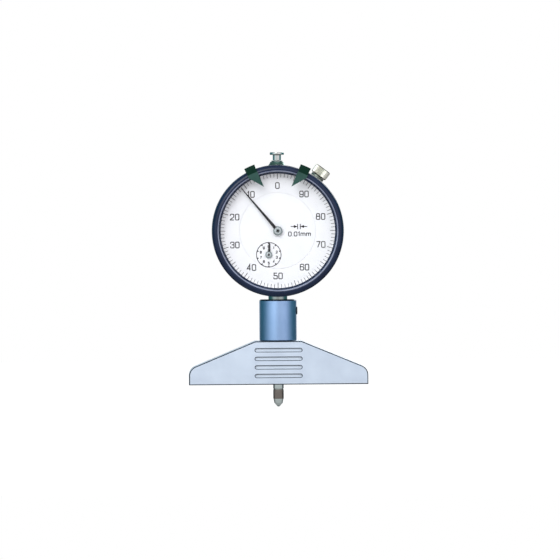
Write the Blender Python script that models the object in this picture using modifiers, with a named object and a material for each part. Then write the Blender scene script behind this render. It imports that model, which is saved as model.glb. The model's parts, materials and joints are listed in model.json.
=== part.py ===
"""Dial depth gauge: a dial indicator held in a sleeve on a sloped measuring base.

The whole gauge hangs on one empty, whose origin is on the spindle axis at the measuring face.
Pieces of the indicator hang on the dial axis empty, where X is right, Y is up and Z comes out of the dial.
"""

import math

import bmesh
import bpy

MM = 0.001

# Clearances
FIT = 0.10 * MM
RUN = 0.06 * MM
WIDE = 0.20 * MM

# How far a cutter runs past the face that it opens
PAST = 1.0 * MM

# Number of sides of the round pieces, and of steps round a corner
RING_SIDES = 36
ROUND_SIDES = 28
SHAFT_SIDES = 20
SMALL_SIDES = 16
TINY_SIDES = 8
CORNER_STEPS = 5
GROOVE_STEPS = 4
NOSE_STEPS = 4
HUB_STEPS = 20
HAIRSPRING_TURN_POINTS = 10
SPRING_TURN_POINTS = 8

# Base block
BASE_LENGTH = 75.0 * MM
BASE_DEPTH = 16.0 * MM
BASE_HEIGHT = 18.2 * MM
BASE_TOP_WIDTH = 19.4 * MM
BASE_END_HEIGHT = 6.7 * MM
BASE_END_RADIUS = 4.3 * MM
BASE_EDGE = 0.4 * MM
BASE_EDGE_LEAST_ANGLE = math.radians(35)
GROOVE_COUNT = 4
GROOVE_LENGTH = 20.1 * MM
GROOVE_WIDTH = 1.8 * MM
GROOVE_DEPTH = 0.9 * MM
GROOVE_PITCH = 3.58 * MM
GROOVE_TOP_DISTANCE = 3.74 * MM

# Sleeve
SLEEVE_INSET = 0.2 * MM
SLEEVE_HEIGHT = 17.3 * MM
SLEEVE_CHAMFER = 0.5 * MM
SLEEVE_FLOOR = 2.3 * MM
SPIGOT_RADIUS = 5.5 * MM
SPIGOT_LENGTH = 8.0 * MM
SPIGOT_WALL = 2.2 * MM
CLAMP_SCREW_RADIUS = 1.65 * MM
CLAMP_SCREW_DROP = 4.75 * MM
CLAMP_SCREW_PROUD = 0.35 * MM
CLAMP_SCREW_CHAMFER = 0.2 * MM
SCREW_SLOT_WIDTH = 0.5 * MM
SCREW_SLOT_DEPTH = 0.5 * MM

# Stem, spindle and contact point
STEM_RADIUS = 4.0 * MM
STEM_WALL = 0.8 * MM
BUSH_LENGTH = 6.5 * MM
SPINDLE_RADIUS = 2.4 * MM
SPINDLE_TOP_RADIUS = 1.6 * MM
TRAVEL = 10.5 * MM
CONTACT_REACH = 9.4 * MM
SPINDLE_CHAMFER = 0.3 * MM
CONTACT_RADIUS = 2.2 * MM
CONTACT_LENGTH = 11.3 * MM
CONTACT_TAPER = 1.8 * MM
CONTACT_NOSE_RADIUS = 1.75 * MM
CONTACT_BALL_RADIUS = 1.5 * MM
CONTACT_SEAT_RISE = 0.05 * MM
CONTACT_STUD_RADIUS = 1.2 * MM
CONTACT_STUD_LENGTH = 3.0 * MM
CONTACT_BORE_GAP = 0.5 * MM
CAP_NECK_RADIUS = 1.75 * MM
CAP_FLANGE_RADIUS = 3.0 * MM
CAP_FLANGE_THICKNESS = 1.1 * MM
CAP_HEIGHT = 3.4 * MM
CAP_STUD_RADIUS = 1.0 * MM
CAP_CHAMFER = 0.3 * MM
UPPER_BUSH_RADIUS = 2.05 * MM
UPPER_BUSH_FLANGE = 0.4 * MM

# Bezel, crystal and case
BEZEL_WALL = 2.2 * MM
BEZEL_SLOPE_WIDTH = 2.2 * MM
BEZEL_RIDGE_HEIGHT = 1.6 * MM
BEZEL_SLOPE_HEIGHT = 2.5 * MM
# Points of the rounded slope, as shares of its width and of its height
BEZEL_SLOPE = ((0.27, 0.12), (0.73, 0.44))
BEZEL_LIP = 0.4 * MM
RIM_GROOVE_DEPTH = 0.5 * MM
RIM_GROOVE_WIDTH = 0.9 * MM
NECK_GAP = 1.2 * MM
CRYSTAL_THICKNESS = 1.1 * MM
CRYSTAL_CHAMFER = 0.2 * MM
CRYSTAL_SEAT = 0.9 * MM
GASKET_THICKNESS = 0.3 * MM
SPRING_RING_RADIUS = 0.22 * MM
SNAP_RING_THICKNESS = 0.4 * MM
CASE_WALL = 2.0 * MM
CASE_SHOULDER = 1.2 * MM
CASE_LEDGE = 1.6 * MM
CASE_REAR = 7.2 * MM
COVER_THICKNESS = 1.3 * MM
COVER_CHAMFER = 0.5 * MM
COVER_SCREWS = 4
COVER_SCREW_HEAD_RADIUS = 1.4 * MM
COVER_SCREW_HEAD_HEIGHT = 0.7 * MM
COVER_SCREW_RADIUS = 0.7 * MM
COVER_SCREW_LENGTH = 2.6 * MM
BOSS_RADIUS = 4.3 * MM
BOSS_TOP_RADIUS = 2.5 * MM
BOSS_REACH = 1.3 * MM
BOSS_SHOULDER = 0.4 * MM

# Movement, front to back
PLATE_THICKNESS = 0.6 * MM
PLATE_CLEARANCE = 0.3 * MM
PLATE_MARGIN = 2.418 * MM
WHEEL_THICKNESS = 0.6 * MM
HAIRSPRING_ROOM = 0.9 * MM
DIAL_ROOM = 1.3 * MM
DIAL_THICKNESS = 0.4 * MM
DIAL_RING_WIDTH = 8.0 * MM
DIAL_GAP = 0.25 * MM
HAND_THICKNESS = 0.2 * MM
HAND_STEP = 0.5 * MM
ARBOR_RADIUS = 0.6 * MM
PIVOT_RADIUS = 0.3 * MM
HAND_PIVOT_RADIUS = 0.38 * MM
PINION_BODY_RADIUS = 0.9 * MM
POST_RADIUS = 1.2 * MM
POST_SCREW_RADIUS = 0.5 * MM
POST_SCREW_HEAD_RADIUS = 1.1 * MM
POST_SCREW_HEAD_HEIGHT = 0.5 * MM
POST_SPREAD = 5.3 * MM
POST_DIRECTIONS = (math.radians(202), math.radians(-57), math.radians(76))
BRIDGE_CORNER_RADIUS = 2.6 * MM
DIAL_FOOT_RADIUS = 0.55 * MM
DIAL_HOLE_RADIUS = 0.9 * MM
DIAL_FOOT_CIRCLE = 8.5 * MM
DIAL_FOOT_DIRECTIONS = (math.radians(195), math.radians(78))
COCK_FOOT_DISTANCE = 8.7 * MM
COCK_RADIUS = 2.0 * MM

# Gears
MODULE = 0.1945 * MM
PINION_TEETH = 10
WHEEL_TEETH = 100
HAIRSPRING_TEETH = 40
RACK_PINION_TEETH = 16
RACK_PITCH = 0.625 * MM
# Tooth widths as shares of the pitch, at the root, the pitch circle and the tip
PINION_ROOT = 0.54
PINION_PITCH = 0.36
PINION_TIP = 0.16
WHEEL_TIP = 0.12
RACK_ROOT = 0.62
RACK_TIP = 0.26
FINE_TEETH = 20
# Tooth heights above and below the pitch circle, as multiples of the module
ADDENDUM_SHARE = 0.82
DEDENDUM_SHARE = 1.44
RACK_FACE_WIDTH = 2.4 * MM
RACK_INSET = 0.03 * MM
RACK_SPARE_TEETH = 2
HAIRSPRING_DIRECTION = math.radians(45)
HAIRSPRING_END = math.radians(180)

# Springs and guide
GUIDE_PIN_RADIUS = 0.55 * MM
GUIDE_PIN_SEAT = 1.6 * MM
GUIDE_PIN_OVERHANG = 1.0 * MM
GUIDE_PIN_RISE = 5.6 * MM
SPINDLE_STEP_RISE = 2.0 * MM
GUIDE_RAIL_WIDTH = 2.4 * MM
GUIDE_RAIL_START = 0.8 * MM
GUIDE_RAIL_CHEEK = 0.95 * MM
SPRING_WIRE_RADIUS = 0.15 * MM
SPRING_RADIUS = 1.3 * MM
SPRING_TURNS = 8
SPRING_INSET = 5.8 * MM
SPRING_POST_RADIUS = 0.6 * MM
HAIRSPRING_GAP = 0.86 * MM
HAIRSPRING_WIRE_RADIUS = 0.07 * MM
COLLET_WALL = 0.3 * MM
COLLET_RADIUS = ARBOR_RADIUS + FIT + COLLET_WALL
HAIRSPRING_TURNS = 4

# Hands
POINTER_ANGLE = math.radians(40.2)
POINTER_GAP = 0.4 * MM
POINTER_ROOT_WIDTH = 1.0 * MM
POINTER_TIP_WIDTH = 0.25 * MM
POINTER_HUB_RADIUS = 1.96 * MM
POINTER_HOLE_RADIUS = 0.75 * MM
POINTER_FLANGE_RADIUS = 1.36 * MM
COUNTER_ANGLE = math.radians(-4.0)
COUNTER_HAND_LENGTH = 4.9 * MM
COUNTER_HAND_WIDTH = 0.7 * MM
COUNTER_HAND_TIP_WIDTH = 0.25 * MM
COUNTER_HUB_RADIUS = 1.45 * MM

# Limit hands
LIMIT_ANGLE = math.radians(23.8)
LIMIT_WIDTH = 4.5 * MM
LIMIT_REACH = 4.3 * MM
LIMIT_SHOULDER = 2.6 * MM
LIMIT_PLATE = 0.6 * MM
LIMIT_WALL = 0.6 * MM
LIMIT_TAB_REACH = 1.0 * MM
LIMIT_TAB_HEIGHT = 1.4 * MM
LIMIT_TAB_RISE = 0.1 * MM
# Widths of the joined pieces as shares of the wall's
LIMIT_HOOK_SHARE = 0.98
LIMIT_TAB_SHARE = 0.97

# Bezel clamp
CLAMP_DIRECTION = math.radians(37.0)
CLAMP_DEPTH = 1.2 * MM
CLAMP_KNOB_RADIUS = 3.55 * MM
CLAMP_KNOB_LENGTH = 3.8 * MM
CLAMP_KNOB_GAP = 1.1 * MM
CLAMP_KNOB_TEETH = 30
CLAMP_KNURL_DEPTH = 0.15 * MM
CLAMP_KNOB_END_WALL = 1.0 * MM
CLAMP_COLLAR_RADIUS = 2.9 * MM
CLAMP_COLLAR_LENGTH = 1.2 * MM
CLAMP_STUD_RADIUS = 1.2 * MM
CLAMP_SHOE_THICKNESS = 0.7 * MM
CLAMP_SHOE_WIDTH = 6.0 * MM

# Sleeve, a little slimmer than the base is deep
SLEEVE_RADIUS = BASE_DEPTH / 2 - SLEEVE_INSET

# Gear sizes and centres, seen from the front
RACK_MODULE = RACK_PITCH / math.pi
RACK_ADDENDUM = ADDENDUM_SHARE * RACK_MODULE
RACK_DEDENDUM = DEDENDUM_SHARE * RACK_MODULE
RACK_LINE = SPINDLE_RADIUS - RACK_ADDENDUM - RACK_INSET
RACK_PINION_RADIUS = RACK_PINION_TEETH * RACK_MODULE / 2
COUNTER_DISTANCE = MODULE * (WHEEL_TEETH + PINION_TEETH) / 2
COUNTER_X = -RACK_LINE - RACK_PINION_RADIUS
COUNTER_PLACE = (COUNTER_X, -math.sqrt(COUNTER_DISTANCE**2 - COUNTER_X**2))
COUNTER_DIRECTION = math.atan2(COUNTER_PLACE[1], COUNTER_PLACE[0])
WHEEL_TIP_RADIUS = MODULE * (WHEEL_TEETH / 2 + ADDENDUM_SHARE)
HAIRSPRING_DISTANCE = MODULE * (HAIRSPRING_TEETH + PINION_TEETH) / 2
HAIRSPRING_PLACE = (
    HAIRSPRING_DISTANCE * math.cos(HAIRSPRING_DIRECTION),
    HAIRSPRING_DISTANCE * math.sin(HAIRSPRING_DIRECTION),
)
HAIRSPRING_RADIUS = HAIRSPRING_DISTANCE - ARBOR_RADIUS - HAIRSPRING_GAP

# Radii about the dial axis, from the movement outwards
PLATE_RADIUS = COUNTER_DISTANCE + WHEEL_TIP_RADIUS + PLATE_MARGIN
POST_CIRCLE = COUNTER_DISTANCE + POST_SPREAD
CASE_INNER_RADIUS = PLATE_RADIUS + 2 * FIT
LEDGE_RADIUS = CASE_INNER_RADIUS - CASE_LEDGE
CASE_NECK_RADIUS = CASE_INNER_RADIUS + CASE_WALL
CASE_RADIUS = CASE_NECK_RADIUS + CASE_SHOULDER
BEZEL_SKIRT_RADIUS = CASE_NECK_RADIUS + WIDE
BEZEL_RADIUS = BEZEL_SKIRT_RADIUS + BEZEL_WALL
BEZEL_RIDGE_RADIUS = BEZEL_RADIUS - BEZEL_SLOPE_WIDTH
BEZEL_SEAT_RADIUS = BEZEL_SKIRT_RADIUS - 2 * WIDE
RIM_GROOVE_RADIUS = BEZEL_RADIUS - RIM_GROOVE_DEPTH
CRYSTAL_RADIUS = BEZEL_SEAT_RADIUS - WIDE
DIAL_VISIBLE_RADIUS = CRYSTAL_RADIUS - CRYSTAL_SEAT
INNER_DIAL_RADIUS = DIAL_VISIBLE_RADIUS - DIAL_RING_WIDTH
POINTER_LENGTH = DIAL_VISIBLE_RADIUS - POINTER_GAP
BOSS_TOP = BEZEL_RADIUS + BOSS_REACH
COVER_RADIUS = CASE_RADIUS - COVER_CHAMFER
COVER_SCREW_CIRCLE = (LEDGE_RADIUS + CASE_RADIUS) / 2
LIMIT_TIP_RADIUS = DIAL_VISIBLE_RADIUS - LIMIT_REACH
LIMIT_ARROW_RADIUS = BEZEL_RADIUS - LIMIT_SHOULDER
LIMIT_WALL_RADIUS = BEZEL_RADIUS + WIDE
LIMIT_OUTER_RADIUS = LIMIT_WALL_RADIUS + LIMIT_WALL
CLAMP_KNOB_START = BEZEL_RADIUS + CLAMP_KNOB_GAP
CLAMP_COLLAR_START = CLAMP_KNOB_START - FIT - CLAMP_COLLAR_LENGTH

# Heights above the measuring face
SLEEVE_BOTTOM = BASE_HEIGHT + FIT
SLEEVE_TOP = SLEEVE_BOTTOM + SLEEVE_HEIGHT
STEM_BOTTOM = SLEEVE_BOTTOM + SLEEVE_FLOOR
DIAL_HEIGHT = SLEEVE_TOP + NECK_GAP + BEZEL_RADIUS
COUNTER_HEIGHT = DIAL_HEIGHT + COUNTER_PLACE[1]
CONTACT_TOP = CONTACT_LENGTH - CONTACT_REACH
UPPER_BUSH_TOP = DIAL_HEIGHT + BOSS_TOP + FIT + UPPER_BUSH_FLANGE

# Depths along the dial axis, towards the viewer
PLATE_BACK = SPINDLE_RADIUS + PLATE_CLEARANCE
PLATE_FRONT = PLATE_BACK + PLATE_THICKNESS
WHEEL_BACK = PLATE_FRONT + WIDE
WHEEL_FRONT = WHEEL_BACK + WHEEL_THICKNESS
BRIDGE_BACK = WHEEL_FRONT + HAIRSPRING_ROOM
BRIDGE_FRONT = BRIDGE_BACK + PLATE_THICKNESS
DIAL_BACK = BRIDGE_FRONT + DIAL_ROOM
DIAL_FRONT = DIAL_BACK + DIAL_THICKNESS
COUNTER_HAND_BACK = DIAL_FRONT + HAND_STEP
COUNTER_HAND_FRONT = COUNTER_HAND_BACK + HAND_THICKNESS
POINTER_BACK = COUNTER_HAND_FRONT + HAND_STEP
POINTER_FRONT = POINTER_BACK + HAND_THICKNESS
CRYSTAL_BACK = POINTER_FRONT + HAND_STEP
CRYSTAL_FRONT = CRYSTAL_BACK + CRYSTAL_THICKNESS
GASKET_FRONT = CRYSTAL_FRONT + FIT + GASKET_THICKNESS
LIP_BACK = GASKET_FRONT + FIT
LIP_FRONT = LIP_BACK + BEZEL_LIP
RIDGE_FRONT = LIP_FRONT + BEZEL_RIDGE_HEIGHT
SNAP_RING_BACK = DIAL_BACK - FIT - SNAP_RING_THICKNESS
CASE_FRONT = SNAP_RING_BACK - 2 * WIDE
BEZEL_BACK = PLATE_FRONT + CASE_LEDGE
CASE_SHOULDER_FRONT = BEZEL_BACK - WIDE
SPRING_RING_DEPTH = (CASE_FRONT + CASE_SHOULDER_FRONT) / 2
COVER_FRONT = -CASE_REAR - FIT
COVER_BACK = COVER_FRONT - COVER_THICKNESS
LIMIT_PLATE_BACK = RIDGE_FRONT + WIDE
LIMIT_PLATE_FRONT = LIMIT_PLATE_BACK + LIMIT_PLATE
FRONT_REACH = LIMIT_PLATE_FRONT + LIMIT_TAB_RISE
RIM_GROOVE_BACK = SNAP_RING_BACK + FIT

# Guide pin, seen from the front
GUIDE_HEIGHT = COUNTER_HEIGHT + GUIDE_PIN_RISE
SPINDLE_STEP = GUIDE_HEIGHT + SPINDLE_STEP_RISE
GUIDE_PIN_START = SPINDLE_RADIUS - GUIDE_PIN_SEAT
GUIDE_RAIL_X = SPINDLE_RADIUS + GUIDE_RAIL_START
SPRING_X = GUIDE_RAIL_X + GUIDE_RAIL_WIDTH + SPRING_RADIUS + SPRING_WIRE_RADIUS + FIT
SPRING_TOP = GUIDE_HEIGHT - GUIDE_PIN_RADIUS - FIT - SPRING_WIRE_RADIUS
SPRING_BOTTOM = DIAL_HEIGHT - PLATE_RADIUS + SPRING_INSET
SPRING_POST_HEIGHT = SPRING_BOTTOM - SPRING_POST_RADIUS - FIT - SPRING_WIRE_RADIUS

# Colours, as red, green and blue of 255, with roughness and metallic
FINISHES = {
    "base_steel": ((203, 217, 236), 0.35, 0.6),
    "blue_anodised": ((92, 130, 160), 0.3, 0.8),
    "black_paint": ((48, 54, 72), 0.35, 0.2),
    "green_paint": ((40, 66, 58), 0.4, 0.2),
    "tab_green": ((14, 52, 38), 0.45, 0.1),
    "steel": ((178, 180, 178), 0.3, 1.0),
    "dark_steel": ((88, 92, 96), 0.35, 1.0),
    "brass": ((196, 164, 96), 0.3, 1.0),
    "knob_silver": ((226, 226, 212), 0.35, 0.8),
    "dial_white": ((240, 240, 236), 0.6, 0.0),
    "hand_black": ((40, 40, 42), 0.4, 0.2),
    "crystal_clear": ((235, 242, 245), 0.05, 0.0),
    "rubber": ((30, 30, 30), 0.8, 0.0),
    "spring_steel": ((120, 124, 130), 0.3, 1.0),
}

UP = (0.0, 0.0, 0.0)
ALONG_X = (0.0, math.pi / 2, 0.0)


def linear(channel):
    """One colour channel of 255 as a linear value."""
    share = channel / 255
    return share / 12.92 if share <= 0.04045 else ((share + 0.055) / 1.055) ** 2.4


def material(finish):
    """The Principled material of a finish, made once."""
    known = bpy.data.materials.get(finish)
    if known:
        return known
    colour, roughness, metallic = FINISHES[finish]
    made = bpy.data.materials.new(finish)
    made.use_nodes = True
    shader = made.node_tree.nodes["Principled BSDF"]
    shader.inputs["Base Color"].default_value = [*map(linear, colour), 1.0]
    shader.inputs["Roughness"].default_value = roughness
    shader.inputs["Metallic"].default_value = metallic
    return made


def add(name, data, parent, place, turn, finish):
    """Put data in the scene: a part where it has a finish, and a cutter where it has none."""
    obj = bpy.data.objects.new(name, data)
    obj.parent = parent
    obj.location = place
    obj.rotation_euler = turn
    if finish:
        PARTS.objects.link(obj)
        data.materials.append(material(finish))
    else:
        CUTTERS.objects.link(obj)
        obj.hide_render = True
        obj.display_type = "WIRE"
    return obj


def empty(name, parent=None, place=(0, 0, 0), turn=UP):
    """An empty that carries other objects."""
    obj = bpy.data.objects.new(name, None)
    obj.parent = parent
    obj.location = place
    obj.rotation_euler = turn
    PARTS.objects.link(obj)
    return obj


def turned(name, profile, parent, finish=None, place=(0, 0, 0), turn=UP, sides=ROUND_SIDES):
    """A profile of (radius, height) points, from the top down its outer side, turned about Z."""
    mesh = bpy.data.meshes.new(name)
    shape = bmesh.new()
    points = [shape.verts.new((radius, 0, height)) for radius, height in profile]
    for upper, lower in zip(points, points[1:]):
        shape.edges.new((upper, lower))
    if profile[0][0] > 0:
        shape.edges.new((points[-1], points[0]))
    shape.to_mesh(mesh)
    shape.free()
    obj = add(name, mesh, parent, place, turn, finish)
    screw = obj.modifiers.new("Turn", "SCREW")
    screw.steps = sides
    screw.render_steps = sides
    screw.use_smooth_shade = True
    screw.use_merge_vertices = True
    screw.merge_threshold = 0.001 * MM
    return obj


def flat(name, outlines, low, high, parent, finish=None, place=(0, 0), turn=UP):
    """Closed outlines in X and Y, filled between them and thick from low to high along Z."""
    curve = bpy.data.curves.new(name, "CURVE")
    curve.dimensions = "2D"
    curve.fill_mode = "BOTH"
    curve.extrude = (high - low) / 2
    for outline in outlines:
        spline = curve.splines.new("POLY")
        spline.points.add(len(outline) - 1)
        for point, (x, y) in zip(spline.points, outline):
            point.co = (x, y, 0, 1)
        spline.use_cyclic_u = True
    guide = bpy.data.objects.new(name + "_outline", curve)
    CUTTERS.objects.link(guide)
    mesh = bpy.data.meshes.new_from_object(guide.evaluated_get(bpy.context.evaluated_depsgraph_get()))
    bpy.data.objects.remove(guide)
    shape = bmesh.new()
    shape.from_mesh(mesh)
    bmesh.ops.remove_doubles(shape, verts=shape.verts, dist=0.0005 * MM)
    bmesh.ops.translate(shape, verts=shape.verts, vec=(0, 0, (low + high) / 2))
    shape.to_mesh(mesh)
    shape.free()
    mesh.name = name
    return add(name, mesh, parent, (*place, 0), turn, finish)


def box(name, low, high, parent, finish=None):
    """A box between two corners."""
    mesh = bpy.data.meshes.new(name)
    shape = bmesh.new()
    bmesh.ops.create_cube(shape, size=1)
    size = [b - a for a, b in zip(low, high)]
    middle = [(a + b) / 2 for a, b in zip(low, high)]
    bmesh.ops.scale(shape, verts=shape.verts, vec=size)
    bmesh.ops.translate(shape, verts=shape.verts, vec=middle)
    shape.to_mesh(mesh)
    shape.free()
    return add(name, mesh, parent, (0, 0, 0), UP, finish)


def wire(name, points, radius, parent, finish, resolution):
    """A round wire along points."""
    curve = bpy.data.curves.new(name, "CURVE")
    curve.dimensions = "3D"
    curve.bevel_depth = radius
    curve.bevel_resolution = resolution
    curve.use_fill_caps = True
    spline = curve.splines.new("POLY")
    spline.points.add(len(points) - 1)
    for point, place in zip(spline.points, points):
        point.co = (*place, 1)
    return add(name, curve, parent, (0, 0, 0), UP, finish)


def combine(target, operation, other):
    """Cut from target, or join to it, another object."""
    modifier = target.modifiers.new(other.name, "BOOLEAN")
    modifier.operation = operation
    modifier.object = other
    modifier.solver = "EXACT"


def cut(target, *cutters):
    for cutter in cutters:
        combine(target, "DIFFERENCE", cutter)


def join(target, *others):
    for other in others:
        combine(target, "UNION", other)


def cylinder(name, radius, low, high, parent, place=(0, 0, 0), turn=UP, sides=SMALL_SIDES):
    """A plain round cutter from low to high along its own Z."""
    profile = ((0, high), (radius, high), (radius, low), (0, low))
    return turned(name, profile, parent, None, place, turn, sides)


def tube(inner, outer, low, high):
    """The profile of a plain ring."""
    return ((inner, high), (outer, high), (outer, low), (inner, low))


def polar(radius, angle):
    return radius * math.cos(angle), radius * math.sin(angle)


def arc(centre, radius, start, end, steps):
    """Points of an arc, both ends included."""
    angles = [start + (end - start) * step / steps for step in range(steps + 1)]
    return [(centre[0] + radius * math.cos(a), centre[1] + radius * math.sin(a)) for a in angles]


def circle(centre, radius, sides):
    return arc(centre, radius, 0, math.tau * (sides - 1) / sides, sides - 1)


def rounded_hull(centres, radius, steps=CORNER_STEPS):
    """The outline round a convex ring of centres, given anticlockwise."""
    outline = []
    count = len(centres)
    for index, (x, y) in enumerate(centres):
        before = centres[index - 1]
        after = centres[(index + 1) % count]
        start = math.atan2(y - before[1], x - before[0]) - math.pi / 2
        end = math.atan2(after[1] - y, after[0] - x) - math.pi / 2
        sweep = (end - start) % math.tau
        outline += arc((x, y), radius, start, start + sweep, steps)
    return outline


def gear(teeth, module, phase):
    """The outline of a gear with a tooth centred at phase."""
    pitch_radius = teeth * module / 2
    root = pitch_radius - DEDENDUM_SHARE * module
    tip = pitch_radius + ADDENDUM_SHARE * module
    half = math.pi / teeth
    outline = []
    for tooth in range(teeth):
        middle = phase + tooth * math.tau / teeth
        if teeth < FINE_TEETH:
            levels = ((root, PINION_ROOT), (pitch_radius, PINION_PITCH), (tip, PINION_TIP))
            outline += [polar(radius, middle - half * share) for radius, share in levels]
            outline += [polar(radius, middle + half * share) for radius, share in reversed(levels)]
        else:
            outline.append(polar(root, middle - half))
            outline += [polar(tip, middle - half * WHEEL_TIP), polar(tip, middle + half * WHEEL_TIP)]
    return outline


def fillet(corner, before, after, radius, steps):
    """The arc of a rounded corner between two straight sides."""
    one = math.atan2(before[1] - corner[1], before[0] - corner[0])
    two = math.atan2(after[1] - corner[1], after[0] - corner[0])
    opening = abs((two - one + math.pi) % math.tau - math.pi)
    reach = radius / math.sin(opening / 2)
    middle = math.atan2(math.sin(one) + math.sin(two), math.cos(one) + math.cos(two))
    centre = (corner[0] + reach * math.cos(middle), corner[1] + reach * math.sin(middle))
    half = (math.pi - opening) / 2
    back = middle + math.pi
    return arc(centre, radius, back - half, back + half, steps)


def base_outline():
    """The sloped block seen from the front, anticlockwise from its lower left corner."""
    half = BASE_LENGTH / 2
    top = BASE_TOP_WIDTH / 2
    shoulder = (half, BASE_END_HEIGHT)
    right = fillet(shoulder, (half, 0), (top, BASE_HEIGHT), BASE_END_RADIUS, CORNER_STEPS)
    left = [(-x, z) for x, z in reversed(right)]
    return [(-half, 0), (half, 0), *right, (top, BASE_HEIGHT), (-top, BASE_HEIGHT), *left]


def build_base():
    face_on = (math.pi / 2, 0, 0)
    half_depth = BASE_DEPTH / 2
    block = flat("base_block", [base_outline()], -half_depth, half_depth, GAUGE, "base_steel", turn=face_on)
    edge = block.modifiers.new("Edges", "BEVEL")
    edge.width = BASE_EDGE
    edge.segments = 1
    edge.limit_method = "ANGLE"
    edge.angle_limit = BASE_EDGE_LEAST_ANGLE
    bore = CONTACT_RADIUS + CONTACT_BORE_GAP
    spigot_floor = BASE_HEIGHT - SPIGOT_LENGTH - FIT
    hole = (
        (0, BASE_HEIGHT + PAST),
        (SPIGOT_RADIUS + FIT, BASE_HEIGHT + PAST),
        (SPIGOT_RADIUS + FIT, spigot_floor),
        (bore, spigot_floor),
        (bore, -PAST),
        (0, -PAST),
    )
    cut(block, turned("base_bore", hole, GAUGE))
    reach = (GROOVE_LENGTH - GROOVE_WIDTH) / 2
    outline = rounded_hull([(-reach, 0), (reach, 0)], GROOVE_WIDTH / 2, GROOVE_STEPS)
    for index in range(GROOVE_COUNT):
        height = BASE_HEIGHT - GROOVE_TOP_DISTANCE - index * GROOVE_PITCH
        for side, low, high in (
            ("front", half_depth - GROOVE_DEPTH, half_depth + PAST),
            ("back", -half_depth - PAST, -half_depth + GROOVE_DEPTH),
        ):
            name = f"groove_{side}_{index + 1}"
            groove = flat(name, [outline], low, high, GAUGE, turn=face_on)
            groove.location = (0, 0, height)
            cut(block, groove)


def build_sleeve():
    bore = STEM_RADIUS + FIT
    foot = SLEEVE_BOTTOM - SPIGOT_LENGTH
    profile = (
        (bore, SLEEVE_TOP),
        (SLEEVE_RADIUS - SLEEVE_CHAMFER, SLEEVE_TOP),
        (SLEEVE_RADIUS, SLEEVE_TOP - SLEEVE_CHAMFER),
        (SLEEVE_RADIUS, SLEEVE_BOTTOM),
        (SPIGOT_RADIUS, SLEEVE_BOTTOM),
        (SPIGOT_RADIUS, foot),
        (SPIGOT_RADIUS - SPIGOT_WALL, foot),
        (SPIGOT_RADIUS - SPIGOT_WALL, STEM_BOTTOM - FIT),
        (bore, STEM_BOTTOM - FIT),
    )
    sleeve = turned("base_sleeve", profile, GAUGE, "blue_anodised")
    place = (0, 0, SLEEVE_TOP - CLAMP_SCREW_DROP)
    out = SLEEVE_RADIUS + CLAMP_SCREW_PROUD
    hole = cylinder(
        "clamp_screw_hole", CLAMP_SCREW_RADIUS + FIT, STEM_RADIUS / 2, out + PAST, GAUGE, place, ALONG_X
    )
    cut(sleeve, hole)
    screw_profile = (
        (0, out),
        (CLAMP_SCREW_RADIUS - CLAMP_SCREW_CHAMFER, out),
        (CLAMP_SCREW_RADIUS, out - CLAMP_SCREW_CHAMFER),
        (CLAMP_SCREW_RADIUS, bore + CLAMP_SCREW_CHAMFER),
        (CLAMP_SCREW_RADIUS - CLAMP_SCREW_CHAMFER, bore),
        (0, bore),
    )
    screw = turned(
        "sleeve_clamp_screw", screw_profile, GAUGE, "dark_steel", place, ALONG_X, SMALL_SIDES
    )
    half_slot = SCREW_SLOT_WIDTH / 2
    slot = box(
        "clamp_screw_slot",
        (out - SCREW_SLOT_DEPTH, -2 * CLAMP_SCREW_RADIUS, place[2] - half_slot),
        (out + PAST, 2 * CLAMP_SCREW_RADIUS, place[2] + half_slot),
        GAUGE,
    )
    cut(screw, slot)


def build_stem():
    inner = STEM_RADIUS - STEM_WALL
    top = DIAL_HEIGHT - PLATE_RADIUS - FIT
    stem = tube(inner, STEM_RADIUS, STEM_BOTTOM, top)
    turned("indicator_stem", stem, GAUGE, "steel", sides=SHAFT_SIDES)
    bush = tube(SPINDLE_RADIUS + RUN, inner - FIT, STEM_BOTTOM + FIT, STEM_BOTTOM + BUSH_LENGTH)
    turned("lower_stem_bush", bush, GAUGE, "brass", sides=SHAFT_SIDES)
    bore = SPINDLE_TOP_RADIUS + RUN
    flange_low = DIAL_HEIGHT + BOSS_TOP + FIT
    upper = (
        (bore, UPPER_BUSH_TOP),
        (BOSS_TOP_RADIUS - FIT, UPPER_BUSH_TOP),
        (BOSS_TOP_RADIUS - FIT, flange_low),
        (UPPER_BUSH_RADIUS, flange_low),
        (UPPER_BUSH_RADIUS, flange_low - BUSH_LENGTH),
        (bore, flange_low - BUSH_LENGTH),
    )
    turned("upper_spindle_bush", upper, GAUGE, "steel", sides=SMALL_SIDES)


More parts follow.
